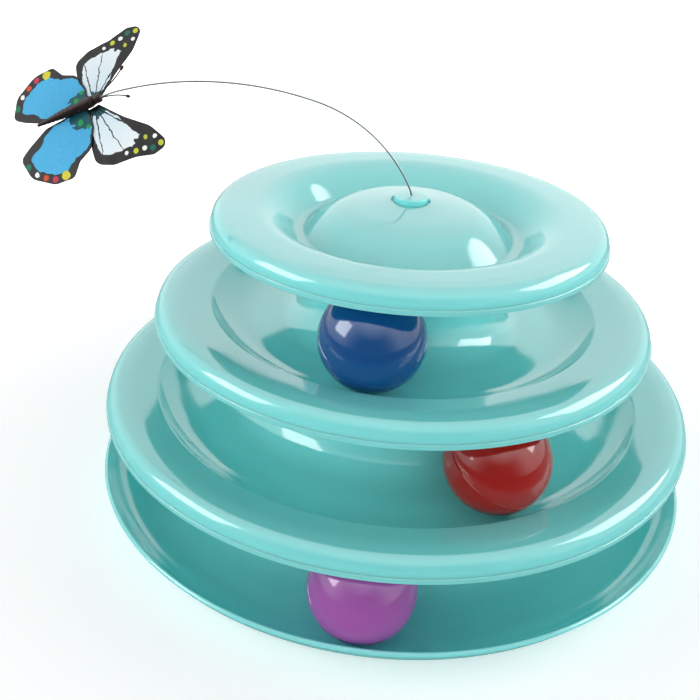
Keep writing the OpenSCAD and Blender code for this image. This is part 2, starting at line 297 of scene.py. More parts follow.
def new_object(name: str, mesh: bpy.types.Mesh) -> bpy.types.Object:
    """A mesh put into the scene under one name."""
    mesh.name = name
    piece = bpy.data.objects.new(name, mesh)
    bpy.context.scene.collection.objects.link(piece)
    return piece


def tidy_mesh(mesh: bpy.types.Mesh, sharp: float = SHARP) -> None:
    """Merges doubles, turns the faces outwards and shades the mesh smooth up to an angle."""
    bm = bmesh.new()
    bm.from_mesh(mesh)
    bmesh.ops.remove_doubles(bm, verts=bm.verts, dist=1e-7)
    bmesh.ops.dissolve_degenerate(bm, dist=1e-8, edges=bm.edges)
    bmesh.ops.recalc_face_normals(bm, faces=bm.faces)
    bm.to_mesh(mesh)
    bm.free()
    mesh.shade_smooth()
    mesh.set_sharp_from_angle(angle=math.radians(sharp))


def mesh_from(points: Plane, faces: Iterable[Sequence[int]]) -> bpy.types.Mesh:
    """A mesh in metres from points in millimetres."""
    mesh = bpy.data.meshes.new("draft")
    mesh.from_pydata((np.asarray(points) * MM).tolist(), [], [list(f) for f in faces])
    return mesh


def plate(half_x: float, half_y: float, z: float = 0.0) -> bpy.types.Mesh:
    """A level rectangle round the Z axis, from its half sizes."""
    corners = [(-half_x, -half_y, z), (half_x, -half_y, z), (half_x, half_y, z), (-half_x, half_y, z)]
    return mesh_from(np.array(corners, float), [(0, 1, 2, 3)])


def baked(piece: bpy.types.Object) -> bpy.types.Mesh:
    """The piece's evaluated mesh, once its modifiers have run; the piece itself goes."""
    bpy.context.view_layer.update()
    graph = bpy.context.evaluated_depsgraph_get()
    mesh = bpy.data.meshes.new_from_object(piece.evaluated_get(graph))
    bpy.data.objects.remove(piece)
    return mesh


def set_input(modifier: bpy.types.Modifier, name: str, value: Any) -> None:
    """Sets a Geometry Nodes modifier's input by its socket's identifier."""
    for item in modifier.node_group.interface.items_tree:
        if item.item_type == "SOCKET" and item.in_out == "INPUT" and item.name == name:
            modifier[item.identifier] = value
            return
    raise KeyError(name)


class Lathe:
    """Geometry Nodes that sweep a section round the tower's axis, as each moulding's tool is turned."""

    def __init__(self) -> None:
        """Builds the tree once, for every turned piece."""
        tree = bpy.data.node_groups.new("turned_section", "GeometryNodeTree")
        sockets = tree.interface
        sockets.new_socket("Section", in_out="INPUT", socket_type="NodeSocketGeometry")
        sockets.new_socket("Reach", in_out="INPUT", socket_type="NodeSocketFloat")
        sockets.new_socket("Segments", in_out="INPUT", socket_type="NodeSocketInt")
        sockets.new_socket("Turned", in_out="OUTPUT", socket_type="NodeSocketGeometry")
        given = add_node(tree, "NodeGroupInput")
        path = add_node(
            tree,
            "GeometryNodeCurvePrimitiveCircle",
            {"Resolution": given.outputs["Segments"], "Radius": given.outputs["Reach"]},
            mode="RADIUS",
        )
        upright = add_node(tree, "GeometryNodeSetCurveNormal", {"Curve": path.outputs[0]}, mode="Z_UP")
        section = add_node(tree, "GeometryNodeMeshToCurve", {"Mesh": given.outputs["Section"]})
        swept = add_node(
            tree,
            "GeometryNodeCurveToMesh",
            {"Curve": upright.outputs[0], "Profile Curve": section.outputs[0], "Fill Caps": False},
        )
        add_node(tree, "NodeGroupOutput", {"Turned": swept.outputs[0]})
        self.tree = tree

    def turn(self, outline: Plane, segments: int, sharp: float = SHARP) -> bpy.types.Mesh:
        """Turns a closed outline of (radius, height) points into a solid.

        Args:
            outline: The section in millimetres; points on the axis close into poles.
            segments: Faces round the axis.
            sharp: Edges above this angle stay sharp.

        Returns:
            The solid's mesh in metres.
        """
        reach = float(outline[:, 0].max()) / 2
        count = len(outline)
        section = bpy.data.meshes.new("section")
        points = [((r - reach) * MM, -z * MM, 0.0) for r, z in outline.tolist()]
        section.from_pydata(points, [(k, (k + 1) % count) for k in range(count)], [])
        piece = new_object("section", section)
        modifier = piece.modifiers.new("turned", "NODES")
        modifier.node_group = self.tree
        set_input(modifier, "Reach", reach * MM)
        set_input(modifier, "Segments", segments)
        mesh = baked(piece)
        tidy_mesh(mesh, sharp)
        return mesh


class PolarArray:
    """Geometry Nodes that repeat a fitting round the tower's axis."""

    def __init__(self) -> None:
        """Builds the tree once, for keys, gussets and the slots between them."""
        tree = bpy.data.node_groups.new("fittings_round_axis", "GeometryNodeTree")
        sockets = tree.interface
        sockets.new_socket("Fitting", in_out="INPUT", socket_type="NodeSocketGeometry")
        sockets.new_socket("Count", in_out="INPUT", socket_type="NodeSocketInt")
        sockets.new_socket("First Turn", in_out="INPUT", socket_type="NodeSocketFloat")
        sockets.new_socket("Finish", in_out="INPUT", socket_type="NodeSocketMaterial")
        sockets.new_socket("Fittings", in_out="OUTPUT", socket_type="NodeSocketGeometry")
        given = add_node(tree, "NodeGroupInput")
        seats = add_node(
            tree,
            "GeometryNodeMeshLine",
            {"Count": given.outputs["Count"], "Offset": (0, 0, 0)},
            mode="OFFSET",
        )
        share = add_node(tree, "ShaderNodeMath", {0: math.tau, 1: given.outputs["Count"]}, operation="DIVIDE")
        place = add_node(tree, "GeometryNodeInputIndex")
        turn = add_node(
            tree,
            "ShaderNodeMath",
            {0: place.outputs[0], 1: share.outputs[0], 2: given.outputs["First Turn"]},
            operation="MULTIPLY_ADD",
        )
        about = {"Axis": (0, 0, 1), "Angle": turn.outputs[0]}
        facing = add_node(tree, "FunctionNodeAxisAngleToRotation", about)
        copies = add_node(
            tree,
            "GeometryNodeInstanceOnPoints",
            {
                "Points": seats.outputs[0],
                "Instance": given.outputs["Fitting"],
                "Rotation": facing.outputs[0],
            },
        )
        real = add_node(tree, "GeometryNodeRealizeInstances", {"Geometry": copies.outputs[0]})
        coated = add_node(
            tree,
            "GeometryNodeSetMaterial",
            {"Geometry": real.outputs[0], "Material": given.outputs["Finish"]},
        )
        add_node(tree, "NodeGroupOutput", {"Fittings": coated.outputs[0]})
        self.tree = tree

    def repeat(
        self, fitting: bpy.types.Mesh, count: int, first_turn: float, finish: bpy.types.Material
    ) -> bpy.types.Mesh:
        """Repeats one fitting at equal angles.

        Args:
            fitting: The fitting's mesh where the angle is zero.
            count: How many there are.
            first_turn: Angle of the first, in degrees.
            finish: Their material.

        Returns:
            One mesh with all of them.
        """
        piece = new_object("fitting", fitting)
        modifier = piece.modifiers.new("round", "NODES")
        modifier.node_group = self.tree
        set_input(modifier, "Count", count)
        set_input(modifier, "First Turn", math.radians(first_turn))
        set_input(modifier, "Finish", finish)
        return baked(piece)


def block(low: Sequence[float], high: Sequence[float]) -> bpy.types.Mesh:
    """A box between two corners, in millimetres."""
    points = [[(low, high)[k >> a & 1][a] for a in range(3)] for k in range(8)]
    faces = [(0, 2, 3, 1), (4, 5, 7, 6), (0, 1, 5, 4), (2, 6, 7, 3), (0, 4, 6, 2), (1, 3, 7, 5)]
    return mesh_from(np.array(points, float), faces)


def cut(base: bpy.types.Mesh, tool: bpy.types.Mesh) -> bpy.types.Mesh:
    """Cuts slots out of a moulding.

    Args:
        base: The moulding.
        tool: The slots, as closed shells.

    Returns:
        The moulding with its slots.
    """
    piece, cutter = new_object("base", base), new_object("tool", tool)
    modifier = piece.modifiers.new("fit", "BOOLEAN")
    modifier.operation = "DIFFERENCE"
    modifier.solver = "EXACT"
    modifier.object = cutter
    mesh = baked(piece)
    bpy.data.objects.remove(cutter)
    tidy_mesh(mesh)
    return mesh


def tube(path: Plane, radius: float, sides: int) -> bpy.types.Mesh:
    """A round rod along a path in the plane of X and Z, closed at both ends.

    Args:
        path: Points as (x, z), in millimetres.
        radius: The rod's radius.
        sides: Faces round it.

    Returns:
        The rod's mesh.
    """
    ahead = np.gradient(path, axis=0)
    ahead /= np.linalg.norm(ahead, axis=1, keepdims=True)
    across = np.stack([-ahead[:, 1], ahead[:, 0]], axis=1)
    angles = math.tau * np.arange(sides) / sides
    spokes = [(radius * math.cos(t), radius * math.sin(t)) for t in angles]
    rings = [[(p[0] + u * n[0], v, p[1] + u * n[1]) for u, v in spokes] for p, n in zip(path, across)]
    points = np.array(rings).reshape(-1, 3)
    faces: list[Sequence[int]] = []
    for k in range(len(path) - 1):
        for s in range(sides):
            a, b = k * sides + s, k * sides + (s + 1) % sides
            faces.append((a, b, b + sides, a + sides))
    faces += [tuple(range(sides))[::-1], tuple(range(len(points) - sides, len(points)))]
    mesh = mesh_from(points, faces)
    tidy_mesh(mesh)
    return mesh


def joined(parts: Sequence[bpy.types.Mesh]) -> bpy.types.Mesh:
    """Several closed shells as one mesh."""
    bm = bmesh.new()
    for part in parts:
        bm.from_mesh(part)
    mesh = bpy.data.meshes.new("joined")
    bm.to_mesh(mesh)
    bm.free()
    mesh.shade_smooth()
    mesh.set_sharp_from_angle(angle=math.radians(SHARP))
    return mesh


def dressed(
    name: str, mesh: bpy.types.Mesh, finish: bpy.types.Material, body: str, slot: str, *nodes: str
) -> bpy.types.Object:
    """Puts a finished piece on its body in place of its solids.

    Args:
        name: The piece's name.
        mesh: Its mesh, with its place in its points.
        finish: Its material.
        body: The body that it rides on.
        slot: The record's slot for its finish; it is not used.
        *nodes: The solids it stands for.

    Returns:
        The piece.
    """
    mesh.materials.clear()
    mesh.materials.append(finish)
    piece = new_object(name, mesh)
    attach(piece, body)
    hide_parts(*nodes)
    LOG.info("%s: %d faces on %s", name, len(mesh.polygons), body)
    return piece


# ---- Finishes


@dataclass(frozen=True)
class GlossMoulding:
    """Pigmented polypropylene, injection moulded in a polished tool.

    To the eye: an even, opaque pastel with a sharp gloss, a slow ripple in the reflections where
    the wall shrank, and faint scuffs that run round the axis where the ball rolls.

    Attributes:
        name: The finish's name.
        colour: The pigment's colour.
        shade: The colour of its slow, slight drift.
        roughness: Of the skin where nothing has scuffed it.
        ripple_mm: Length of the slow ripple.
        peel_mm: Length of the fine one.
        scuff_mm: Spacing of the scuffs.
        scuffed: Whether it has any.
        glow: How much light goes in and comes out again.
        glow_mm: How far it goes in.
    """

    name: str
    colour: str
    shade: str
    roughness: float
    ripple_mm: float = 14.0
    peel_mm: float = 2.2
    scuff_mm: float = 0.9
    scuffed: bool = True
    glow: float = 0.0
    glow_mm: float = 5.0

    def make(self) -> bpy.types.Material:
        """Builds the material."""
        material, tree = new_material(self.name)
        place = add_node(tree, "ShaderNodeTexCoord").outputs["Object"]
        flow = noise(tree, place, 1 / (self.ripple_mm * 3 * MM), 1.0)
        ripple = noise(tree, place, 1 / (self.ripple_mm * MM), 0.0)
        peel = noise(tree, place, 1 / (self.peel_mm * MM), 1.0)
        slow = relief(tree, 0.35, 0.2, ripple)
        surface(
            tree,
            "ShaderNodeBsdfPrincipled",
            {
                "Base Color": blend(tree, flow, linear(self.colour), linear(self.shade)),
                "Roughness": self._scuffs(tree, place) if self.scuffed else self.roughness,
                "Normal": relief(tree, 0.12, 0.04, peel, Normal=slow),
                "IOR": 1.5,
                "Subsurface Weight": self.glow,
                "Subsurface Radius": (0.35, 1.0, 1.0),
                "Subsurface Scale": self.glow_mm * MM,
            },
        )
        return material

    def _scuffs(self, tree: bpy.types.NodeTree, place: bpy.types.NodeSocket) -> bpy.types.NodeSocket:
        """Roughness that is streaked round the tower's axis.

        Args:
            tree: The material's tree.
            place: Object coordinates.

        Returns:
            The roughness socket.
        """
        split = add_node(tree, "ShaderNodeSeparateXYZ", {0: place}).outputs
        level = add_node(tree, "ShaderNodeCombineXYZ", {0: split[0], 1: split[1]}).outputs[0]
        reach = maths(tree, "ADD", vector_maths(tree, "LENGTH", level), split[2])
        fine = maths(tree, "MULTIPLY", reach, 1 / (self.scuff_mm * MM))
        arcs = vector_maths(tree, "MULTIPLY", vector_maths(tree, "NORMALIZE", level), (1.6, 1.6, 0))
        streaks = add_node(tree, "ShaderNodeCombineXYZ", {2: fine}).outputs[0]
        where = vector_maths(tree, "ADD", arcs, streaks)
        return remap(tree, noise(tree, where, 1.0, 2.0), (0.45, 0.8), (self.roughness, self.roughness + 0.08))


@dataclass(frozen=True)
class SpringSteel:
    """Drawn spring steel, 0.7 mm: a dull grey metal with faint lines along the draw."""

    name: str = "drawn_spring_steel"
    colour: str = "#7b7e81"
    roughness: float = 0.38
    line_mm: float = 0.25

    def make(self) -> bpy.types.Material:
        """Builds the material."""
        material, tree = new_material(self.name)
        place = add_node(tree, "ShaderNodeTexCoord").outputs["Object"]
        lines = noise(tree, place, 1 / (self.line_mm * MM), 2.0)
        rough = remap(tree, lines, (0.0, 1.0), (self.roughness - 0.1, self.roughness + 0.12))
        metal = {"Base Color": linear(self.colour), "Metallic": 1.0, "Roughness": rough}
        surface(tree, "ShaderNodeBsdfPrincipled", metal)
        return material


@dataclass(frozen=True)
class FoamPad:
    """Closed-cell EVA foam, die cut: matt charcoal with fine round cells, whose pits carry painted shade."""

    name: str = "eva_foam"
    colour: str = "#2e3033"
    # Painted shade: the colour at the bottom of each cell's pit
    pit_painted_shade: str = "#222427"
    cell_mm: float = 0.7

    def make(self) -> bpy.types.Material:
        """Builds the material."""
        material, tree = new_material(self.name)
        place = add_node(tree, "ShaderNodeTexCoord").outputs["Object"]
        grain = {"Vector": place, "Scale": 1 / (self.cell_mm * MM)}
        cells = add_node(tree, "ShaderNodeTexVoronoi", grain).outputs["Distance"]
        # Painted shade: darker at the cells' middles, where the bump sinks in
        tint = blend(tree, cells, linear(self.pit_painted_shade), linear(self.colour))
        skin = {"Base Color": tint, "Roughness": 0.85, "Normal": relief(tree, 0.5, 0.1, cells), "IOR": 1.48}
        surface(tree, "ShaderNodeBsdfPrincipled", skin)
        return material


@dataclass(frozen=True)
class PaintedBody:
    """Polyethylene body, painted black-brown: satin, with a fine nap where the paint went on thick."""

    name: str = "painted_butterfly_body"
    colour: str = "#0f0c0c"
    edge: str = "#2c1815"
    nap_mm: float = 0.45

    def make(self) -> bpy.types.Material:
        """Builds the material."""
        material, tree = new_material(self.name)
        place = add_node(tree, "ShaderNodeTexCoord").outputs["Object"]
        nap = noise(tree, place, 1 / (self.nap_mm * MM), 3.0)
        surface(
            tree,
            "ShaderNodeBsdfPrincipled",
            {
                "Base Color": blend(tree, nap, linear(self.colour), linear(self.edge)),
                "Roughness": 0.55,
                "Normal": relief(tree, 0.6, 0.2, nap),
                "IOR": 1.5,
                "Specular IOR Level": 0.2,
            },
        )
        return material


@dataclass(frozen=True)
class PrintedFilm:
    """Matt-laminated PET film, printed and die cut: crisp black lines round flat, clean colours.

    The print is laid out on the wing's own millimetres (its UV map holds them as shares of the wing's
    size) and on the stored distance to its cut edge.

    Attributes:
        name: The finish's name.
        ground: Colour of the cells between the lines.
        glow: Their colour near the root.
        root: Where the veins start, as (x, y).
        veins: How close together the veins stand.
        vein_mm: A vein's width; there are none at 0.
        margin: The black edge: where its widening starts and ends, and its width at both.
        tip: The black corner: its direction from the root as (x, y), and how far out it starts.
        dusk: The dark patch at the root: its reach and its colour.
        marks: Round marks, each a place, a radius and a colour.
        size_mm: The wing's size, which one unit of the UV map stands for.
    """

    name: str
    ground: str
    glow: str
    root: Pair
    veins: float
    vein_mm: float
    margin: tuple[float, float, float, float]
    tip: tuple[float, float, float]
    dusk: tuple[float, str]
    marks: tuple[tuple[float, float, float, str], ...]
    size_mm: float = 50.0

    def make(self) -> bpy.types.Material:
        """Builds the material."""
        material, tree = new_material(self.name)
        uv = add_node(tree, "ShaderNodeUVMap", uv_map="wing").outputs[0]
        spot = vector_maths(tree, "MULTIPLY", uv, (self.size_mm,) * 3)
        local = vector_maths(tree, "SUBTRACT", spot, (*self.root, 0))
        away = vector_maths(tree, "LENGTH", local)
        wave = maths(tree, "SUBTRACT", noise(tree, spot, 0.35, 1.0), 0.5)
        mottle = noise(tree, spot, 0.8, 2.0)
        black = self._black(tree, local, away, wave)
        ink = blend(tree, black, self._cells(tree, away, wave, mottle), linear("#0b0a0d"))

        # Marks on the black, slightly ragged
        for x, y, radius, code in self.marks:
            gap = vector_maths(tree, "LENGTH", vector_maths(tree, "SUBTRACT", spot, (x, y, 0)))
            inked = maths(tree, "LESS_THAN", maths(tree, "ADD", gap, wave), radius)
            ink = blend(tree, inked, ink, linear(code))

        surface(
            tree,
            "ShaderNodeBsdfPrincipled",
            {
                "Base Color": ink,
                "Roughness": remap(tree, mottle, (0.0, 1.0), (0.42, 0.55)),
                "Normal": relief(tree, 0.2, 0.1, black),
                "IOR": 1.5,
                "Specular IOR Level": 0.12,
            },
        )
        return material

    def _cells(self, tree: bpy.types.NodeTree, away: Any, wave: Any, mottle: Any) -> bpy.types.NodeSocket:
        """The coloured cells, a little deeper near the body, with the screen's faint mottle.

        Args:
            tree: The material's tree.
            away: Distance to the root.
            wave: The slow wobble of the print.
            mottle: Its fine grain.

        Returns:
            The colour socket.
        """
        cell = blend(tree, remap(tree, away, (4.0, 24.0)), linear(self.glow), linear(self.ground))
        pale = maths(tree, "MULTIPLY", maths(tree, "POWER", mottle, 4.0), 0.2)
        cell = blend(tree, pale, cell, linear("#f7fcff"))
        reach, tone = self.dusk
        dusk = maths(tree, "LESS_THAN", maths(tree, "ADD", away, maths(tree, "MULTIPLY", wave, 7.0)), reach)
        return blend(tree, dusk, cell, linear(tone))

    def _black(self, tree: bpy.types.NodeTree, local: Any, away: Any, wave: Any) -> bpy.types.NodeSocket:
        """Where the black is: the veins, the margin that widens away from the body, and the tip.

        Args:
            tree: The material's tree.
            local: The way from the root.
            away: Its length.
            wave: The slow wobble of the print.

        Returns:
            A socket of 0 or 1.
        """
        split = add_node(tree, "ShaderNodeSeparateXYZ", {0: local}).outputs
        angle = maths(tree, "ARCTAN2", split[1], split[0])
        fan = maths(tree, "MULTIPLY", angle, self.veins)
        fan = maths(tree, "ADD", fan, maths(tree, "MULTIPLY", wave, 1.2))
        swing = maths(tree, "ABSOLUTE", maths(tree, "SINE", fan))
        near = maths(tree, "MULTIPLY", swing, maths(tree, "DIVIDE", away, self.veins))
        vein = maths(tree, "LESS_THAN", near, self.vein_mm / 2)
        rim = add_node(tree, "ShaderNodeAttribute", attribute_name="rim").outputs["Fac"]
        width = remap(tree, away, self.margin[:2], self.margin[2:])
        edge = maths(tree, "LESS_THAN", maths(tree, "ADD", rim, maths(tree, "MULTIPLY", wave, 1.6)), width)
        along = vector_maths(tree, "DOT_PRODUCT", local, (*self.tip[:2], 0))
        far = maths(tree, "ADD", along, maths(tree, "MULTIPLY", wave, 6.0))
        tip = maths(tree, "GREATER_THAN", far, self.tip[2])
        return maths(tree, "MAXIMUM", maths(tree, "MAXIMUM", vein, edge), tip)


PALE_FILM = PrintedFilm(
    "printed_film_pale", "#e6eff3", "#cfe4ee", (-5.0, 1.0), 7.5, 0.5,
    (11.0, 22.0, 0.9, 4.4), (0.714, 0.7, 23.5), (5.0, "#0f4f56"),
    (
        (18.0, 25.8, 1.2, "#c3cb3c"), (14.2, 26.4, 1.25, "#105f4d"), (16.3, 22.3, 0.9, "#f4f6f2"),
        (10.8, 25.3, 0.95, "#f4f6f2"), (12.3, 21.3, 0.9, "#b9bf45"), (6.9, 24.9, 1.1, "#c3cb3c"),
        (2.9, 24.2, 0.85, "#f4f6f2"), (19.3, 23.3, 0.6, "#6a4aa8"),
    ),
)  # fmt: skip

BLUE_FILM = PrintedFilm(
    "printed_film_blue", "#49acda", "#41a3d2", (-10.0, 1.0), 3.2, 0.0,
    (14.0, 24.0, 0.7, 3.7), (-0.96, 0.26, 31.0), (7.5, "#0d4650"),
    (
        (-24.3, 23.2, 1.9, "#d3ca44"), (-29.2, 23.0, 1.25, "#b83a58"), (-33.2, 20.9, 1.3, "#c64f30"),
        (-37.0, 18.2, 1.15, "#f4f6f2"), (-39.9, 13.7, 1.35, "#10664c"), (-12.6, 5.2, 1.25, "#1f8a4a"),
        (-9.6, 8.0, 0.9, "#1f8a4a"),
    ),
)  # fmt: skip


# ---- The tower


@dataclass(frozen=True)
class TowerSizes:
    """The sizes that the tower's pieces share.

    A name ends in its kind: r a radius, d a diameter, w a width, h a height above the piece's own lower
    edge, f the rounding of a corner, share a part of the length that it goes with.
    """

    # The base's radius, the walls, the seats and the small edges
    rim_r: float = 125.0
    wall: float = 2.0
    pad_proud: float = 0.2
    seat_gap: float = 0.3
    turn_clear: float = 0.08
    edge_f: float = 0.8
    tiny_f: float = 0.2
    corner_turn: float = 15.0
    cut_over: float = 1.0
    # Balls, and the room round them
    ball_d: float = 40.0
    ball_wall: float = 1.5
    ball_gap: float = 0.3
    ball_proud: float = 1.0
    head_room: float = 1.1
    step_margin: float = 1.8
    # Brims, with their bead and inner lip
    rim_h: float = 8.2
    rim_f: float = 5.4
    crown_h: float = 8.7
    crown_share: float = 0.4266
    crown_round_share: float = 0.9
    bead_w: float = 0.7
    bead_h: float = 2.2
    bead_f: float = 0.5
    lip_h: float = 6.0
    lip_f: float = 2.0
    cover_inset: float = 1.25
    cover_drop: float = 0.6
    # Tracks and hubs
    base_lip_h: float = 12.4
    base_lip_out: float = 1.6
    base_foot_in: float = 8.4
    track_sink: float = 2.7
    track_spare: float = 2.0
    dish_share: float = 0.38
    dish_spare: float = 2.0
    hub_lean: float = 4.0
    hub_foot_f: float = 16.0
    hub_top_f: float = 2.5
    # Sockets, collars and keys
    socket_in: float = 6.0
    socket_h: float = 6.5
    collar_h: float = 6.0
    collar_clear: float = 0.3
    key_count: int = 3
    key_w: float = 8.0
    key_out: float = 2.0
    slot_h: float = 7.5

    @property
    def ball_r(self) -> float:
        """A ball's radius."""
        return self.ball_d / 2

    @property
    def step(self) -> float:
        """How far each brim steps in."""
        return self.ball_r + self.step_margin

    @property
    def pitch(self) -> float:
        """Height from one track to the next."""
        return self.ball_d + self.head_room - self.track_sink

    def brim_r(self, tier: int) -> float:
        """Outer radius of the brim over a track."""
        inset = self.cover_inset if tier == Tier.UPPER else 0.0
        return self.rim_r - tier * self.step - inset

    def floor_z(self, tier: int) -> float:
        """Height of a track's floor."""
        return self.pad_proud + self.wall + tier * self.pitch

    def brim_z(self, tier: int) -> float:
        """Height of a brim's lower edge."""
        drop = self.cover_drop if tier == Tier.UPPER else 0.0
        return self.floor_z(tier) + self.ball_d + self.head_room - drop

    def orbit_r(self, tier: int) -> float:
        """Radius of the circle that a ball's middle runs on."""
        return self.brim_r(tier) - self.ball_r + self.ball_proud

    def hub_foot_r(self, tier: int) -> float:
        """Radius of a hub's foot."""
        return self.brim_r(tier) - self.ball_d - self.track_spare

    def hub_top_r(self, tier: int) -> float:
        """Radius of a hub's top."""
        return self.hub_foot_r(tier) - self.hub_lean

    def hub_top_z(self, tier: int) -> float:
        """Height of a hub's top."""
        return self.floor_z(tier) + self.pitch - self.wall - self.seat_gap

    def socket_r(self, tier: int) -> float:
        """Radius of the socket in a hub's top."""
        return self.hub_top_r(tier) - self.socket_in

    def collar_r(self, tier: int) -> float:
        """Radius of the collar that plugs into the socket below."""
        return self.socket_r(tier - 1) - self.collar_clear

    def collar_z(self, tier: int) -> float:
        """Height of the collar's lower edge."""
        return self.hub_top_z(tier - 1) + self.seat_gap - self.collar_h

    def brim_face(self, tier: int) -> list[Corner]:
        """Corners of a brim's visible face."""
        r, z = self.brim_r(tier) - self.bead_w, self.brim_z(tier)
        crown = (r - self.step * self.crown_share, z + self.crown_h, self.step * self.crown_round_share)
        return [(r, z, self.edge_f), (r, z + self.rim_h, self.rim_f), crown]

    def track_face(self, tier: int, foot_r: float, foot_f: float) -> list[Corner]:
        """Corners of a track's visible face, from its outer wall's foot to the hub's socket."""
        top = self.hub_top_z(tier)
        return [
            (foot_r, self.floor_z(tier), foot_f),
            (self.hub_foot_r(tier), self.floor_z(tier), self.hub_foot_f),
            (self.hub_top_r(tier), top, self.hub_top_f),
            (self.socket_r(tier), top, self.edge_f),
            (self.socket_r(tier), top - self.socket_h, self.edge_f),
        ]

    def bead(self, tier: int) -> Plane:
        """Outline of the bead round a brim's lower edge."""
        r, z, f = self.brim_r(tier), self.brim_z(tier), self.bead_f
        inner, top = r - self.bead_w - self.wall / 2, z + self.bead_h
        return rounded([(inner, z, 0), (r, z, f), (r, top, f), (inner, top, 0)], self.corner_turn)

    def collar(self, tier: int, top: float, inner_top: float) -> Plane:
        """Outline of the collar under a moulding, up to a height at its outside and one at its inside."""
        r, low, e = self.collar_r(tier), self.collar_z(tier), self.edge_f
        inner = r - self.wall
        return rounded([(inner, low, e), (r, low, e), (r, top, 0), (inner, inner_top, 0)], self.corner_turn)


SIZES = TowerSizes()


@dataclass
class Workshop:
    """The tools that the pieces are made with."""

    lathe: Lathe = field(default_factory=Lathe)
    array: PolarArray = field(default_factory=PolarArray)

    def shell(self, face: Sequence[Corner], spacing: float, segments: int) -> bpy.types.Mesh:
        """The turned wall behind a visible face, with no face longer than the spacing."""
        section = wall_section(face, SIZES.wall, SIZES.tiny_f)
        return self.lathe.turn(closely_spaced(section, spacing), segments)

    def keys(self, span: Pair, width: float, heights: Pair, finish: bpy.types.Material) -> bpy.types.Mesh:
        """Blocks at equal angles, as keys or as the cutters of their slots.

        Args:
            span: Radius of their inner and outer ends.
            width: How wide they are.
            heights: Of their lower and upper faces.
            finish: Their material.

        Returns:
            One mesh with all of them.
        """
        (inner, outer), (low, high) = span, heights
        key = block((inner, -width / 2, low), (outer, width / 2, high))
        return self.array.repeat(key, SIZES.key_count, 0.0, finish)


@dataclass
class TrackMoulding:
    """One tier: the base dish, or a ring with the brim over the track below it.

    Attributes:
        tier: Which track it holds.
        name: The piece's name.
        body: The body that it rides on.
        node: The solid that it stands for.
        shop: The tools.
        finish: Its material.
        segments: Faces round the axis.
        spacing: The longest face along the section.
    """

    tier: Tier
    name: str
    body: str
    node: str
    shop: Workshop
    finish: bpy.types.Material
    segments: int = 252
    spacing: float = 5.0

    def face(self) -> list[Corner]:
        """Corners of the visible face."""
        s = SIZES
        if self.tier is Tier.LOWER:
            lip = s.brim_r(0) + s.base_lip_out
            edge = (lip, s.floor_z(0) + s.base_lip_h, s.edge_f)
            return [edge, *s.track_face(0, lip - s.base_foot_in, s.ball_r)]
        lip = s.brim_r(self.tier)
        below = self.tier - 1
        return [
            *s.brim_face(below),
            (lip, s.brim_z(below) + s.lip_h, s.lip_f),
            *s.track_face(self.tier, lip - s.ball_r * s.dish_share, s.ball_r + s.dish_spare),
        ]

    def fittings(self) -> list[bpy.types.Mesh]:
        """The bead, collar and keys that plug a ring into the tier below."""
        s, tier = SIZES, self.tier
        under = s.floor_z(tier) - s.wall / 2
        outside = s.collar_r(tier)
        bead = self.shop.lathe.turn(s.bead(tier - 1), self.segments)
        collar = self.shop.lathe.turn(s.collar(tier, under, under), self.segments)
        span, heights = (outside - s.wall / 2, outside + s.key_out), (s.collar_z(tier) + s.edge_f, under)
        return [bead, collar, self.shop.keys(span, s.key_w, heights, self.finish)]

    def mesh(self) -> bpy.types.Mesh:
        """The moulding, with its bead, collar, keys and slots."""
        s = SIZES
        shell = self.shop.shell(self.face(), self.spacing, self.segments)
        if self.tier is not Tier.LOWER:
            shell = joined([shell, *self.fittings()])
        top, socket = s.hub_top_z(self.tier), s.socket_r(self.tier)
        span = socket - s.cut_over, socket + s.key_out + s.collar_clear
        heights = top - s.slot_h, top + s.cut_over
        return cut(shell, self.shop.keys(span, s.key_w + 2 * s.collar_clear, heights, self.finish))

    def build(self) -> bpy.types.Object:
        """Makes the moulding and puts it on its body."""
        return dressed(self.name, self.mesh(), self.finish, self.body, "turquoise_shell", self.node)


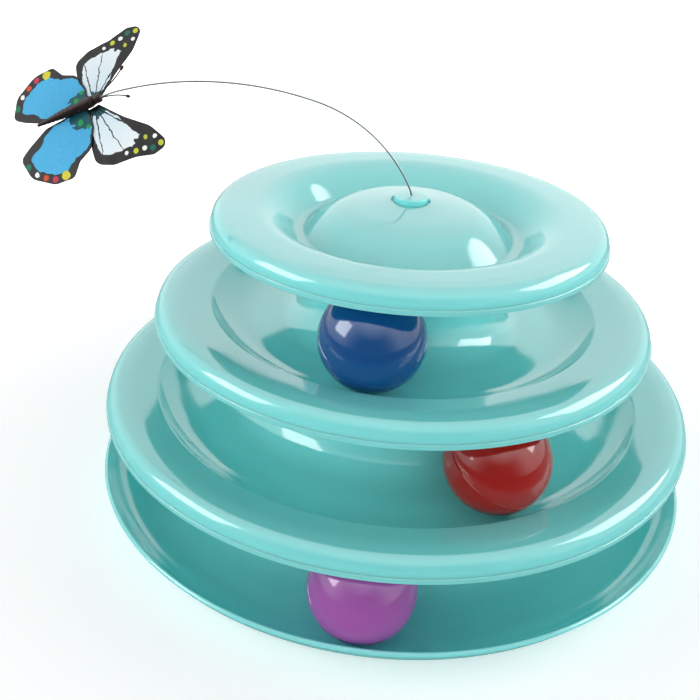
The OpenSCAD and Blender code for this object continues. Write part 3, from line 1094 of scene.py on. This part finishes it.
@dataclass
class TopCover:
    """The round cover: rolled brim, well and dome, with the plug's seat in its middle.

    The brow is where the brim rolls over into the well, and the shoulder is where the dome bends most.
    Names end as those of the tower's sizes do; `_in` and `_gap` are measured inwards.
    """

    shop: Workshop
    finish: bpy.types.Material
    segments: int = 252
    spacing: float = 4.0
    brow_share: float = 0.6845
    brow_h: float = 8.5
    brow_f: float = 16.0
    well_sink: float = 2.4
    well_in: float = 33.6
    well_floor_w: float = 3.8
    well_f: float = 3.5
    dome_gap: float = 4.0
    dome_h: float = 11.7
    dome_foot_f: float = 2.0
    shoulder_share: float = 0.61
    shoulder_h: float = 8.9
    shoulder_f: float = 28.0
    cap_r: float = 6.8
    skirt_share: float = 0.52
    recess_gap: float = 1.0
    recess_depth: float = 1.2
    recess_f: float = 0.5
    key_h: float = 6.0
    gusset_count: int = 6
    gusset_t: float = 1.6
    gusset_run: float = 4.5

    @property
    def r(self) -> float:
        """Radius of the cover's brim."""
        return SIZES.brim_r(Tier.UPPER)

    @property
    def z(self) -> float:
        """Height of the cover's lower edge."""
        return SIZES.brim_z(Tier.UPPER)

    @property
    def recess_r(self) -> float:
        """Radius of the plug's recess."""
        return self.cap_r + self.recess_gap

    @property
    def recess_z(self) -> float:
        """Height of the recess's floor."""
        return self.z + self.dome_h - self.recess_depth

    @property
    def skirt_r(self) -> float:
        """Radius of the plug's skirt, which the hole in the dome takes."""
        return self.cap_r * self.skirt_share

    def face(self) -> list[Corner]:
        """Corners of the visible face."""
        r, z, recess = self.r, self.z, self.recess_r
        foot, floor = r - self.well_in - self.dome_gap, z - self.well_sink
        return [
            *SIZES.brim_face(Tier.UPPER),
            (r - self.well_in * self.brow_share, z + self.brow_h, self.brow_f),
            (foot + self.well_floor_w, floor, self.well_f),
            (foot, floor, self.dome_foot_f),
            (recess + (foot - recess) * self.shoulder_share, z + self.shoulder_h, self.shoulder_f),
            (recess, z + self.dome_h, self.recess_f),
            (recess, self.recess_z, SIZES.tiny_f),
            (self.skirt_r + SIZES.turn_clear, self.recess_z, SIZES.tiny_f),
        ]

    def height_under(self, radius: float) -> float:
        """Height of the wall's middle at a radius under the dome."""
        # From the well's floor to the recess's edge
        middle = shifted(self.face(), SIZES.wall / 2, SIZES.tiny_f)[4:8]
        ends = [(x, z, 0.0) for x, z, _ in (middle[0], middle[-1])]
        curve = rounded([ends[0], *middle[1:-1], ends[1]])
        return float(np.interp(radius, curve[::-1, 0], curve[::-1, 1]))

    def gusset(self, inner: float, outer: float, low: float) -> bpy.types.Mesh:
        """One gusset at the angle of zero."""
        h = self.gusset_t / 2
        tops = self.height_under(outer), self.height_under(inner)
        outline = [(inner, low), (outer, low), (outer, tops[0]), (inner, tops[1])]
        points = [(x, y, z) for y in (-h, h) for x, z in outline]
        faces = [(0, 1, 2, 3), (7, 6, 5, 4), *[(k, k + 4, (k + 1) % 4 + 4, (k + 1) % 4) for k in range(4)]]
        return mesh_from(np.array(points), faces)

    def mesh(self) -> bpy.types.Mesh:
        """The cover, with its bead, collar, keys and gussets."""
        s, above = SIZES, Tier.UPPER + 1
        seat = s.hub_top_z(Tier.UPPER) + s.seat_gap
        outside = s.collar_r(above)
        inner = outside - s.wall / 2
        tops = self.height_under(outside), self.height_under(outside - s.wall)
        shell = self.shop.shell(self.face(), self.spacing, self.segments)
        bead = self.shop.lathe.turn(s.bead(Tier.UPPER), self.segments)
        collar = self.shop.lathe.turn(s.collar(above, *tops), self.segments)
        gusset = self.gusset(inner, outside + self.gusset_run, seat)
        gussets = self.shop.array.repeat(gusset, self.gusset_count, 180 / self.gusset_count, self.finish)
        heights = s.collar_z(above) + s.edge_f, seat + self.key_h
        keys = self.shop.keys((inner, outside + s.key_out), s.key_w, heights, self.finish)
        return joined([shell, bead, collar, gussets, keys])

    def build(self) -> bpy.types.Object:
        """Makes the cover and puts it on its body."""
        return dressed(
            "moulded_top_cover", self.mesh(), self.finish, "top_cover", "turquoise_shell", "top_cover"
        )


@dataclass
class TrackBall:
    """A ball of two half shells with a stepped seam.

    Attributes:
        colour: Its colour's name, which its body and slot go by.
        tier: The track that it rolls in.
        turn: Where it lies round the axis, in degrees.
        finish: Its material.
        shop: The tools.
        segments: Faces round the ball.
        lap_t: Thickness of the lower shell's lap.
        lap_h: How far the lap stands up.
        lap_clear: The gap round it.
        lap_foot: Latitude where the lap starts, and how far it stands in.
        seam_f: The bevel on both sides of the seam.
        arc_points: Points of the outer and of the inner arc.
        tilt: The seam's tilt about X and about Y.
    """

    colour: str
    tier: Tier
    turn: float
    finish: bpy.types.Material
    shop: Workshop
    segments: int = 96
    lap_t: float = 0.7
    lap_h: float = 1.5
    lap_clear: float = 0.05
    lap_foot: Pair = (4.0, 0.02)
    seam_f: float = 0.3
    arc_points: tuple[int, int] = (40, 30)
    tilt: Pair = (24.0, 18.0)

    @staticmethod
    def _arc(radius: float, ends: Pair, count: int) -> list[Pair]:
        """Points between two latitudes, in degrees, of a sphere's section."""
        turns = [math.radians(t) for t in np.linspace(*ends, count)]
        return [(radius * math.cos(t), radius * math.sin(t)) for t in turns]

    def outline(self, half: Half) -> Plane:
        """Section of one shell: the upper one stands over the lower one's lap."""
        r, clear, sign = SIZES.ball_r, self.lap_clear, 1 if half is Half.UPPER else -1
        inner = r - SIZES.ball_wall
        lap = inner + self.lap_t
        outer_points, inner_points = self.arc_points
        if half is Half.UPPER:
            foot = math.degrees(math.asin((self.lap_h + clear) / inner))
            seam = [(lap + clear, self.lap_h + clear), (lap + clear, 0.0)]
        else:
            foot, slack = self.lap_foot
            seam = [(inner - slack, self.lap_h), (lap, self.lap_h), (lap, 0.0)]
        outer = self._arc(r, (math.degrees(math.asin(self.seam_f / r)), QUARTER), outer_points)
        back = self._arc(inner, (QUARTER, foot), inner_points)
        arcs = [(x, sign * z) for x, z in outer + back]
        return np.array([*arcs, *seam, (r - self.seam_f, 0.0)])

    def place(self) -> Matrix:
        """Where the ball lies in its track, with its seam's tilt."""
        s = SIZES
        height = s.floor_z(self.tier) + s.ball_gap + s.ball_r
        return (
            Matrix.Rotation(math.radians(self.turn), 4, "Z")
            @ Matrix.Translation(Vector((0, -s.orbit_r(self.tier), height)) * MM)
            @ Matrix.Rotation(math.radians(self.tilt[1]), 4, "Y")
            @ Matrix.Rotation(math.radians(self.tilt[0]), 4, "X")
        )

    def build(self) -> list[bpy.types.Object]:
        """Makes both shells and puts them on the ball's body."""
        pieces = []
        for half in Half:
            mesh = self.shop.lathe.turn(self.outline(half), self.segments)
            mesh.transform(self.place())
            ball = f"{self.colour}_ball"
            node = f"{ball}_{half.value}_shell"
            pieces.append(dressed(f"moulded_{node}", mesh, self.finish, ball, ball, node))
        return pieces


# ---- The teaser


@dataclass
class TeaserPlug:
    """The round snap-in cap that the wire comes out of, with its sprung fingers."""

    cover: TopCover
    shop: Workshop
    finish: bpy.types.Material
    cap_h: float = 3.3
    cap_t: float = 1.8
    skirt_t: float = 1.1
    barb_out: float = 0.7
    barb_h: float = 1.6
    finger_count: int = 4
    slot_w: float = 1.2
    hole_r: float = 0.45
    flare: float = 0.6
    cap_slope: float = 0.2
    cap_f: float = 0.7
    tip_in: float = 0.3
    segments: int = 128
    corner_turn: float = 10.0

    @property
    def z(self) -> float:
        """Height of the cap's underside."""
        return self.cover.recess_z + SIZES.turn_clear

    @property
    def pivot_z(self) -> float:
        """Height of the wire's pivot in the cap."""
        return self.z + self.cap_h - self.cap_t / 2

    def mesh(self) -> bpy.types.Mesh:
        """The plug, with its fingers cut free."""
        top, skirt, cap, f = self.cap_h, self.cover.skirt_r, self.cover.cap_r, SIZES.tiny_f
        barb_top = -SIZES.wall - 2 * SIZES.turn_clear
        low = barb_top - self.barb_h
        inner, mouth = skirt - self.skirt_t, self.hole_r + self.flare
        outline = rounded(
            [
                (mouth, top, f), (cap, top - self.cap_slope, self.cap_f), (cap, 0, f), (skirt, 0, 0),
                (skirt, barb_top, 0), (skirt + self.barb_out, barb_top, f), (skirt - self.tip_in, low, f),
                (inner, low, f), (inner, top - self.cap_t, f), (mouth, top - self.cap_t, 0),
                (self.hole_r, top - self.cap_t / 2, 0),
            ],
            self.corner_turn,
        )  # fmt: skip
        outline[:, 1] += self.z
        turned = self.shop.lathe.turn(outline, self.segments)
        half, depth = self.slot_w / 2, self.z + low - SIZES.cut_over
        slot = block((0, -half, depth), (cap, half, self.z - SIZES.wall / 2))
        slots = self.shop.array.repeat(slot, self.finger_count, 180 / self.finger_count, self.finish)
        return cut(turned, slots)

    def build(self) -> bpy.types.Object:
        """Makes the plug and puts it on its body."""
        return dressed(
            "moulded_teaser_plug", self.mesh(), self.finish, "teaser_plug", "turquoise_shell", "teaser_plug"
        )


@dataclass
class TeaserWire:
    """The spring wire: a straight foot, arcs, and a straight tip in the butterfly.

    Attributes:
        pivot_z: Height where it leaves the cap.
        finish: Its material.
        radius: The wire's radius.
        foot: Length below the pivot.
        rise: Length from the pivot to the first arc.
        tip: Length in the butterfly.
        arcs: Each arc's radius and its turn in degrees.
        step_mm: Spacing of the points along an arc.
        sides: Faces round the wire.
    """

    pivot_z: float
    finish: bpy.types.Material
    radius: float = 0.35
    foot: float = 4.6
    rise: float = 0.3
    tip: float = 2.5
    arcs: tuple[Pair, ...] = ((5.75, 25), (60, 50), (140, 32), (48, 9.5))
    step_mm: float = 2.0
    sides: int = 16

    @staticmethod
    def _swing(radius: float, start: float, end: float) -> Plane:
        """The way along an arc from one heading to another, in degrees."""
        a, b = math.radians(start), math.radians(end)
        return radius * np.array([math.sin(b) - math.sin(a), math.cos(a) - math.cos(b)])

    def path(self) -> Plane:
        """The wire's middle line as (x, z), from its foot to its tip."""
        at, heading = np.array([0.0, self.pivot_z + self.rise]), QUARTER
        points = [np.array([0.0, self.pivot_z - self.foot]), np.array([0.0, self.pivot_z])]
        for r, turn in self.arcs:
            steps = max(3, math.ceil(math.radians(turn) * r / self.step_mm))
            points += [at + self._swing(r, heading, heading + turn * k / steps) for k in range(steps)]
            at = at + self._swing(r, heading, heading + turn)
            heading += turn
        ahead = np.array([math.cos(math.radians(heading)), math.sin(math.radians(heading))])
        return np.array([*points, at, at + ahead * self.tip])

    @property
    def heading(self) -> float:
        """The wire's last heading in degrees."""
        return QUARTER + sum(turn for _, turn in self.arcs)

    def end(self) -> Matrix:
        """The butterfly's frame before its roll: X along the wire, back towards the plug."""
        x, z = self.path()[-2]
        back = math.radians(2 * QUARTER - self.heading)
        return Matrix.Translation(Vector((x, 0, z)) * MM) @ Matrix.Rotation(back, 4, "Y")

    def build(self) -> bpy.types.Object:
        """Makes the wire and puts it on its body."""
        rod = tube(self.path(), self.radius, self.sides)
        return dressed("drawn_teaser_wire", rod, self.finish, "teaser_wire", "spring_wire", "teaser_wire")


@dataclass(frozen=True)
class WingShape:
    """One wing: its corners as shares of WING_SIZE, its level and how far its far edge lifts."""

    name: str
    corners: tuple[Corner, ...]
    level: float
    lift: float


# The wings' size, the thorax's radius, the film's thickness and the gap between its layers
WING_SIZE = 50.0
THORAX_R = 2.2
FILM_T = 0.4
SEAT = 0.05

FOREWING = WingShape(
    "forewing",
    (
        (-0.16, 0.03, 0.01), (-0.06, 0.02, 0.01), (0.12, 0.2, 0.24), (0.31, 0.35, 0.16),
        (0.43, 0.54, 0.06), (0.28, 0.58, 0.06), (0.12, 0.54, 0.12), (-0.08, 0.53, 0.12),
        (-0.22, 0.47, 0.08), (-0.22, 0.34, 0.12),
    ),
    -THORAX_R - 2 * FILM_T - 2 * SEAT,
    -0.5,
)  # fmt: skip

HINDWING = WingShape(
    "hindwing",
    (
        (-0.18, 0.01, 0.01), (-0.15, 0.03, 0.01), (-0.15, 0.18, 0.08), (-0.22, 0.34, 0.08),
        (-0.34, 0.4, 0.04), (-0.42, 0.51, 0.06), (-0.6, 0.5, 0.12), (-0.79, 0.38, 0.12),
        (-0.85, 0.19, 0.06), (-0.74, 0.12, 0.08), (-0.56, 0.03, 0.12), (-0.3, 0.01, 0.06),
    ),
    -THORAX_R - FILM_T - SEAT,
    0.5,
)  # fmt: skip


@dataclass
class Butterfly:
    """The printed butterfly: a turned body, two antennae and four film wings.

    Attributes:
        wire: The wire that carries it.
        shop: The tools.
        body_paint: Finish of the body and antennae.
        films: Finish of each wing, by its shape's name.
        bank: Its roll about the wire, in degrees.
        droop: How far the wings hang, in degrees.
        head_r: The head's radius.
        ring_from: Where the tail's rings start.
        ring_pitch: Their spacing.
        ring_depth: Their depth, as a share of the radius.
        antenna_r: An antenna's radius.
        antenna_arc: Its bend's radius and turn.
        antenna_lean: Its turn outwards and its lift, in degrees.
        knob: Half the width and height of the knob on it.
        grid_mm: Spacing of a wing's points.
        curl_from: Distance from the body where a wing starts to curl.
        curl_over: The distance over which it does.
        flutter: Height of the film's slight wave.
    """

    wire: TeaserWire
    shop: Workshop
    body_paint: bpy.types.Material
    films: Mapping[str, bpy.types.Material]
    bank: float = 50.0
    droop: float = 6.0
    head_r: float = 1.7
    ring_from: float = 11.5
    ring_pitch: float = 2.0
    ring_depth: float = 0.05
    antenna_r: float = 0.25
    antenna_arc: Pair = (30.0, 28.0)
    antenna_lean: Pair = (8.0, -6.0)
    knob: Pair = (0.6, 1.1)
    grid_mm: float = 0.8
    curl_from: float = 4.0
    curl_over: float = 24.0
    flutter: float = 0.06

    def frame(self) -> Matrix:
        """The butterfly's frame on the wire's end."""
        return self.wire.end() @ Matrix.Rotation(math.radians(self.bank), 4, "X")

    def body_mesh(self) -> bpy.types.Mesh:
        """Head, thorax and ringed tail, turned about the body's axis."""
        h = self.head_r
        outline = rounded(
            [
                (0, 0, 0), (h, 0, h * 0.4), (h, -2 * h, h * 0.4), (1.5, -2 * h, 0.2), (THORAX_R, -4.5, 1),
                (THORAX_R, -8.7, 1), (1.5, -10.8, 0.2), (1.9, -16, 20), (0.5, -30, 0.2), (0, -30, 0),
            ],
            12,
        )  # fmt: skip
        outline = closely_spaced(outline, 0.4)
        tail = np.maximum(-self.ring_from - outline[:, 1], 0)
        wave = np.sin(-tail * math.tau / self.ring_pitch)
        outline[:, 0] *= 1 + self.ring_depth * wave * np.clip(tail / self.ring_pitch, 0, 1)
        mesh = self.shop.lathe.turn(outline, 32, 60.0)
        mesh.transform(self.frame() @ Matrix.Rotation(math.radians(QUARTER), 4, "Y"))
        return mesh

    def antenna_mesh(self, side: Side) -> bpy.types.Mesh:
        """One antenna: a thin bent shaft with a knob at its end."""
        bend, turn = self.antenna_arc[0], math.radians(self.antenna_arc[1])
        angles = np.linspace(0, turn, 14)
        path = np.stack([bend * np.sin(angles), bend * (1 - np.cos(angles))], axis=1)
        shaft = tube(path, self.antenna_r, 10)
        wide, tall = self.knob
        knob_outline = [(wide * math.sin(t), -tall * math.cos(t)) for t in np.linspace(0, math.pi, 14)]
        knob = self.shop.lathe.turn(np.array(knob_outline), 16, 80.0)
        knob.transform(
            Matrix.Translation(Vector((path[-1][0], 0, path[-1][1])) * MM)
            @ Matrix.Rotation(math.radians(QUARTER) - turn, 4, "Y")
        )
        mesh = joined([shaft, knob])
        # The rod lies in X and Z; the antenna bends out to the side
        mesh.transform(Matrix.Rotation(math.radians(-QUARTER), 4, "X"))
        mesh.transform(
            self.frame()
            @ side.mirror
            @ Matrix.Translation(Vector((-0.5, 0.5, 0.5)) * self.head_r * MM)
            @ Matrix.Rotation(math.radians(self.antenna_lean[0]), 4, "Z")
            @ Matrix.Rotation(math.radians(self.antenna_lean[1]), 4, "Y")
        )
        tidy_mesh(mesh, 60.0)
        return mesh

    def wing_mesh(self, shape: WingShape, side: Side) -> bpy.types.Mesh:
        """One film wing with its print's UV map and its distance to the edge.

        Args:
            shape: The wing.
            side: The butterfly's left or right.

        Returns:
            The wing's mesh in its place.
        """
        outline = closely_spaced(rounded(shape.corners, 10) * WING_SIZE, self.grid_mm)
        low, high = outline.min(axis=0), outline.max(axis=0)
        xs = np.arange(low[0], high[0], self.grid_mm)
        ys = np.arange(low[1], high[1], self.grid_mm)
        grid = np.array([(x + self.grid_mm / 2 * (k % 2), y) for k, y in enumerate(ys) for x in xs])
        inner = grid[(inside(grid, outline)) & (edge_distance(grid, outline) > self.grid_mm * 0.5)]
        flat = np.vstack([outline, inner])
        count = len(outline)
        sides = [(k, (k + 1) % count) for k in range(count)]
        points, _, faces, _, _, _ = delaunay_2d_cdt([Vector(p) for p in flat.tolist()], sides, [], 1, 1e-6)
        plane = np.array([tuple(p) for p in points])
        rim = edge_distance(plane, outline)
        away = np.clip((plane[:, 1] - self.curl_from) / self.curl_over, 0, 1)
        curve = shape.lift * away**2 + self.flutter * np.sin(plane[:, 0] * 0.9) * away
        total = len(plane)
        top = np.column_stack([plane, curve + shape.level + FILM_T])
        bottom = np.column_stack([plane, curve + shape.level])
        walls = [(a, b, b + total, a + total) for a, b in sides]
        shell = [tuple(f) for f in faces] + [tuple(k + total for k in reversed(f)) for f in faces] + walls
        mesh = mesh_from(np.vstack([top, bottom]), shell)
        self._store_print(mesh, np.vstack([plane, plane]), np.concatenate([rim, rim]))
        mesh.transform(self.frame() @ side.mirror @ Matrix.Rotation(math.radians(-self.droop), 4, "X"))
        tidy_mesh(mesh, 40.0)
        return mesh

    @staticmethod
    def _store_print(mesh: bpy.types.Mesh, plane: Plane, rim: Plane) -> None:
        """Writes the wing's millimetres as a UV map and its distance to the edge as an attribute."""
        distance = mesh.attributes.new("rim", "FLOAT", "POINT")
        distance.data.foreach_set("value", rim.astype(np.float32))
        loops = np.empty(len(mesh.loops), dtype=np.int32)
        mesh.loops.foreach_get("vertex_index", loops)
        layer = mesh.uv_layers.new(name="wing")
        layer.data.foreach_set("uv", (plane[loops] / WING_SIZE).astype(np.float32).ravel())

    def build(self) -> list[bpy.types.Object]:
        """Makes the butterfly's pieces and puts them on its body."""
        paint = self.body_paint, "butterfly", "black_body"
        pieces = [dressed("painted_butterfly_body", self.body_mesh(), *paint, "butterfly_body")]
        for side in Side:
            antenna = f"{side.value}_antenna"
            pieces.append(dressed(f"bent_{antenna}", self.antenna_mesh(side), *paint, antenna))
            for shape, slot in ((FOREWING, "white_wing_film"), (HINDWING, "blue_wing_film")):
                node = f"{side.value}_{shape.name}"
                wing, film = self.wing_mesh(shape, side), self.films[shape.name]
                pieces.append(dressed(f"printed_{node}", wing, film, "butterfly", slot, node))
        return pieces


def inside(points: Plane, outline: Plane) -> np.ndarray:
    """Which points lie inside a closed outline."""
    x, y = points[:, 0][:, None], points[:, 1][:, None]
    a, b = outline, np.roll(outline, -1, axis=0)
    spans = (a[:, 1] > y) != (b[:, 1] > y)
    rise = np.where(b[:, 1] == a[:, 1], 1e-12, b[:, 1] - a[:, 1])
    crossing = a[:, 0] + (y - a[:, 1]) * (b[:, 0] - a[:, 0]) / rise
    return (spans & (x < crossing)).sum(axis=1) % 2 == 1


def edge_distance(points: Plane, outline: Plane) -> np.ndarray:
    """Each point's distance to a closed outline."""
    a, b = outline, np.roll(outline, -1, axis=0)
    along = b - a
    t = ((points[:, None, :] - a) * along).sum(axis=2) / (along**2).sum(axis=1)
    near = a + np.clip(t, 0, 1)[:, :, None] * along
    return np.sqrt(((points[:, None, :] - near) ** 2).sum(axis=2)).min(axis=1)


# ---- Light, floor and camera


@dataclass(frozen=True)
class Softbox:
    """One rectangular lamp: soft light from its area, and a bright cloth that glossy surfaces show.

    Attributes:
        name: The lamp's name.
        place: Where it hangs.
        size: Its width and height.
        power: Its watts.
        shine: The cloth's brightness; at 0 there is no cloth.
        aim: What it faces.
        cloth_gap: How far behind the light the cloth is.
    """

    name: str
    place: tuple[float, float, float]
    size: Pair
    power: float
    shine: float = 0.0
    aim: tuple[float, float, float] = (0.0, 0.0, 60.0)
    cloth_gap: float = 5.0

    def build(self) -> bpy.types.Object:
        """Hangs the lamp and turns it to its aim."""
        data = bpy.data.lights.new(self.name, "AREA")
        data.shape = "RECTANGLE"
        data.size, data.size_y = (v * MM for v in self.size)
        data.energy = self.power
        lamp = bpy.data.objects.new(self.name, data)
        place, aim = Vector(self.place) * MM, Vector(self.aim) * MM
        turn = (aim - place).to_track_quat("-Z", "Y")
        lamp.location = place
        lamp.rotation_euler = turn.to_euler()
        lamp.visible_glossy = False
        bpy.context.scene.collection.objects.link(lamp)
        if self.shine:
            self._diffuser(Matrix.Translation(place) @ turn.to_matrix().to_4x4())
        return lamp

    def _diffuser(self, pose: Matrix) -> None:
        """The lamp's cloth, just behind its light, which only reflections show."""
        mesh = plate(self.size[0] / 2, self.size[1] / 2, self.cloth_gap)
        mesh.transform(pose)
        material, tree = new_material(f"{self.name}_cloth")
        glossy = add_node(tree, "ShaderNodeLightPath").outputs["Is Glossy Ray"]
        clear = add_node(tree, "ShaderNodeBsdfTransparent").outputs[0]
        bright = add_node(tree, "ShaderNodeEmission", {"Strength": self.shine}).outputs[0]
        surface(tree, "ShaderNodeMixShader", {0: glossy, 1: clear, 2: bright})
        mesh.materials.append(material)
        new_object(f"{self.name}_diffuser", mesh)


@dataclass(frozen=True)
class Surround:
    """The white surround's strength for one kind of ray, by the unit vector that the ray looks along.

    Attributes:
        low: Strength where the vector is level.
        high: Strength where its Z is `top` or more.
        top: That Z.
        front: The share of it that is left on the camera's side.
        fade: The Y where that share starts to count, and where it counts in full.
        overhead: The Z where it stops to count again, and where it no longer counts.
    """

    low: float
    high: float
    top: float
    front: float
    fade: Pair
    overhead: Pair = (0.35, 0.8)

    def strength(self, tree: bpy.types.NodeTree, way: Any) -> bpy.types.NodeSocket:
        """Adds its nodes.

        Args:
            tree: The world's tree.
            way: The vector's three sockets.

        Returns:
            The strength's socket.
        """
        level = remap(tree, way[2], (0.0, self.top), (self.low, self.high))
        share = remap(tree, way[1], self.fade, (1.0, self.front), interpolation_type="SMOOTHSTEP")
        above = remap(tree, way[2], self.overhead)
        return maths(tree, "MULTIPLY", level, maths(tree, "MAXIMUM", share, above))


@dataclass
class Studio:
    """White floor, soft light and the photograph's camera.

    Attributes:
        lamps: The softboxes.
        soft: The surround as matt surfaces catch it.
        gloss: The surround as glossy ones show it.
        floor_size: Side of the floor.
        floor_dim: How much darker reflections show the floor, behind the tower and in front of it.
        dim_reach: The depths in metres between which that changes.
        floor_lift: What the camera sees on top of the lit floor, near the tower and far from it.
        lift_reach: The distances in metres between which that changes.
        eye: The camera's place.
        yaw: Its turn, in degrees.
        pitch: How far it looks down.
        roll: Its tilt to the side.
        lens: Its focal length on a sensor of 36 mm.
    """

    lamps: tuple[Softbox, ...] = (
        Softbox("right_softbox", (590, 104, 510), (560, 320), 1.2, 12.0),
        Softbox("left_softbox", (-622, -226, 412), (400, 340), 1.0, 12.0),
        Softbox("top_softbox", (0, 60, 900), (800, 700), 0.2),
        Softbox("front_softbox", (0, -514, 673), (400, 200), 0.1),
    )
    soft: Surround = Surround(2.45, 0.05, 0.7, 1.05, (-0.2, -0.8))
    gloss: Surround = Surround(1.6, 3.7, 1.0, 0.08, (-0.35, -0.95))
    floor_size: float = 6000.0
    floor_dim: Pair = (0.3, 0.94)
    dim_reach: Pair = (0.0, -0.4)
    floor_lift: Pair = (0.42, 1.0)
    lift_reach: Pair = (0.2, 0.6)
    eye: tuple[float, float, float] = (0.0, -354.523, 257.813)
    yaw: float = -3.381
    pitch: float = 29.09
    roll: float = 3.25
    lens: float = 47.57

    def floor(self) -> bpy.types.Object:
        """A white sweep that keeps the tower's shadow."""
        mesh = plate(self.floor_size / 2, self.floor_size / 2)
        material, tree = new_material("white_paper_sweep")
        rays = add_node(tree, "ShaderNodeLightPath").outputs
        place = add_node(tree, "ShaderNodeTexCoord").outputs["Object"]
        depth = add_node(tree, "ShaderNodeSeparateXYZ", {0: place}).outputs[1]
        dim = remap(tree, depth, self.dim_reach, self.floor_dim)
        dark = maths(tree, "MULTIPLY", rays["Is Glossy Ray"], dim)
        white = blend(tree, dark, linear("#f4f4f4"), (0, 0, 0, 1))
        paper = add_node(tree, "ShaderNodeBsdfPrincipled", {"Base Color": white, "Roughness": 0.9}).outputs[0]
        far = remap(tree, vector_maths(tree, "LENGTH", place), self.lift_reach, self.floor_lift)
        lift = maths(tree, "MULTIPLY", rays["Is Camera Ray"], far)
        glow = add_node(tree, "ShaderNodeEmission", {"Strength": lift}).outputs[0]
        surface(tree, "ShaderNodeAddShader", {0: paper, 1: glow})
        mesh.materials.append(material)
        sweep = new_object("paper_sweep", mesh)
        return sweep

    def world(self) -> None:
        """A white surround, plain to the camera, with other strengths for soft light and for reflections."""
        world = bpy.data.worlds.new("white_surround")
        bpy.context.scene.world = world
        world.use_nodes = True
        tree = world.node_tree
        tree.nodes.clear()
        rays = add_node(tree, "ShaderNodeLightPath").outputs
        direct = maths(tree, "MAXIMUM", rays["Is Camera Ray"], rays["Is Transmission Ray"])
        way = add_node(tree, "ShaderNodeTexCoord").outputs["Generated"]
        split = add_node(tree, "ShaderNodeSeparateXYZ", {0: way}).outputs
        levels = self.soft.strength(tree, split), self.gloss.strength(tree, split)
        lit = remap(tree, rays["Is Glossy Ray"], (0.0, 1.0), levels)
        strength = remap(tree, direct, (0.0, 1.0), (lit, 1.0))
        white = {"Color": (1, 1, 1, 1), "Strength": strength}
        back = add_node(tree, "ShaderNodeBackground", white).outputs[0]
        add_node(tree, "ShaderNodeOutputWorld", {"Surface": back})

    def camera(self) -> bpy.types.Object:
        """The photograph's camera: place, turn, tilt, roll and lens."""
        yaw, pitch, roll = (math.radians(v) for v in (self.yaw, self.pitch, self.roll))
        ahead = Vector((math.sin(yaw) * math.cos(pitch), math.cos(yaw) * math.cos(pitch), -math.sin(pitch)))
        level = Vector((math.cos(yaw), -math.sin(yaw), 0))
        up = level.cross(ahead)
        right = level * math.cos(roll) + up * math.sin(roll)
        top = up * math.cos(roll) - level * math.sin(roll)
        turn = Matrix((right, top, -ahead)).transposed().to_4x4()
        data = bpy.data.cameras.new("photo_camera")
        data.sensor_fit = "HORIZONTAL"
        data.sensor_width = 36.0
        data.lens = self.lens
        data.clip_start, data.clip_end = 0.01, 50.0
        camera = bpy.data.objects.new("photo_camera", data)
        camera.matrix_world = Matrix.Translation(Vector(self.eye) * MM) @ turn
        bpy.context.scene.collection.objects.link(camera)
        bpy.context.scene.camera = camera
        return camera

    def build(self) -> None:
        """Sets the whole studio up."""
        self.floor()
        self.world()
        for lamp in self.lamps:
            lamp.build()
        self.camera()
        bpy.context.scene.view_settings.view_transform = "Standard"


# Each ball: its track, its turn round the axis in degrees, its pigment and the pigment's slow drift
BALLS = (
    ("purple", Tier.LOWER, -3.0, "#a058a8", "#9850a0"),
    ("red", Tier.MIDDLE, 28.0, "#9e1a15", "#951410"),
    ("blue", Tier.UPPER, -9.0, "#0c4a85", "#0a447d"),
)


def main() -> None:
    """Loads the frame, builds every piece in order and sets up the studio."""
    logging.basicConfig(level=logging.INFO, format="%(message)s")
    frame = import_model()

    pastel: dict[str, Any] = {"colour": "#83e0de", "shade": "#7ddcda", "glow": 0.35}
    turquoise = GlossMoulding("moulded_polypropylene_turquoise", roughness=0.08, **pastel).make()
    cap_plastic = GlossMoulding("moulded_polypropylene_cap", roughness=0.16, scuffed=False, **pastel).make()
    balls = {
        colour: GlossMoulding(f"moulded_ball_{colour}", pigment, drift, 0.12, 30.0, scuffed=False).make()
        for colour, _, _, pigment, drift in BALLS
    }
    films = {"forewing": PALE_FILM.make(), "hindwing": BLUE_FILM.make()}
    body_paint = PaintedBody().make()
    steel = SpringSteel().make()
    foam = FoamPad().make()

    shop = Workshop()
    TrackMoulding(Tier.LOWER, "moulded_base_track", "base", "base_track", shop, turquoise).build()
    TrackMoulding(Tier.MIDDLE, "moulded_lower_ring", "lower_ring", "lower_ring", shop, turquoise).build()
    TrackMoulding(Tier.UPPER, "moulded_middle_ring", "middle_ring", "middle_ring", shop, turquoise).build()
    cover = TopCover(shop, turquoise)
    cover.build()
    for colour, tier, turn, _, _ in BALLS:
        TrackBall(colour, tier, turn, balls[colour], shop).build()
    plug = TeaserPlug(cover, shop, cap_plastic)
    plug.build()
    wire = TeaserWire(plug.pivot_z, steel)
    wire.build()
    Butterfly(wire, shop, body_paint, films).build()

    finishes = {"wire_ferrule": steel, **{f"foot_pad_{k}": foam for k in range(1, 7)}}
    for node, finish in finishes.items():
        solid = frame["nodes"][node]
        solid.data.materials.clear()
        solid.data.materials.append(finish)
        LOG.info("%s: dressed in %s", node, finish.name)

    Studio().build()


if __name__ == "__main__":
    main()
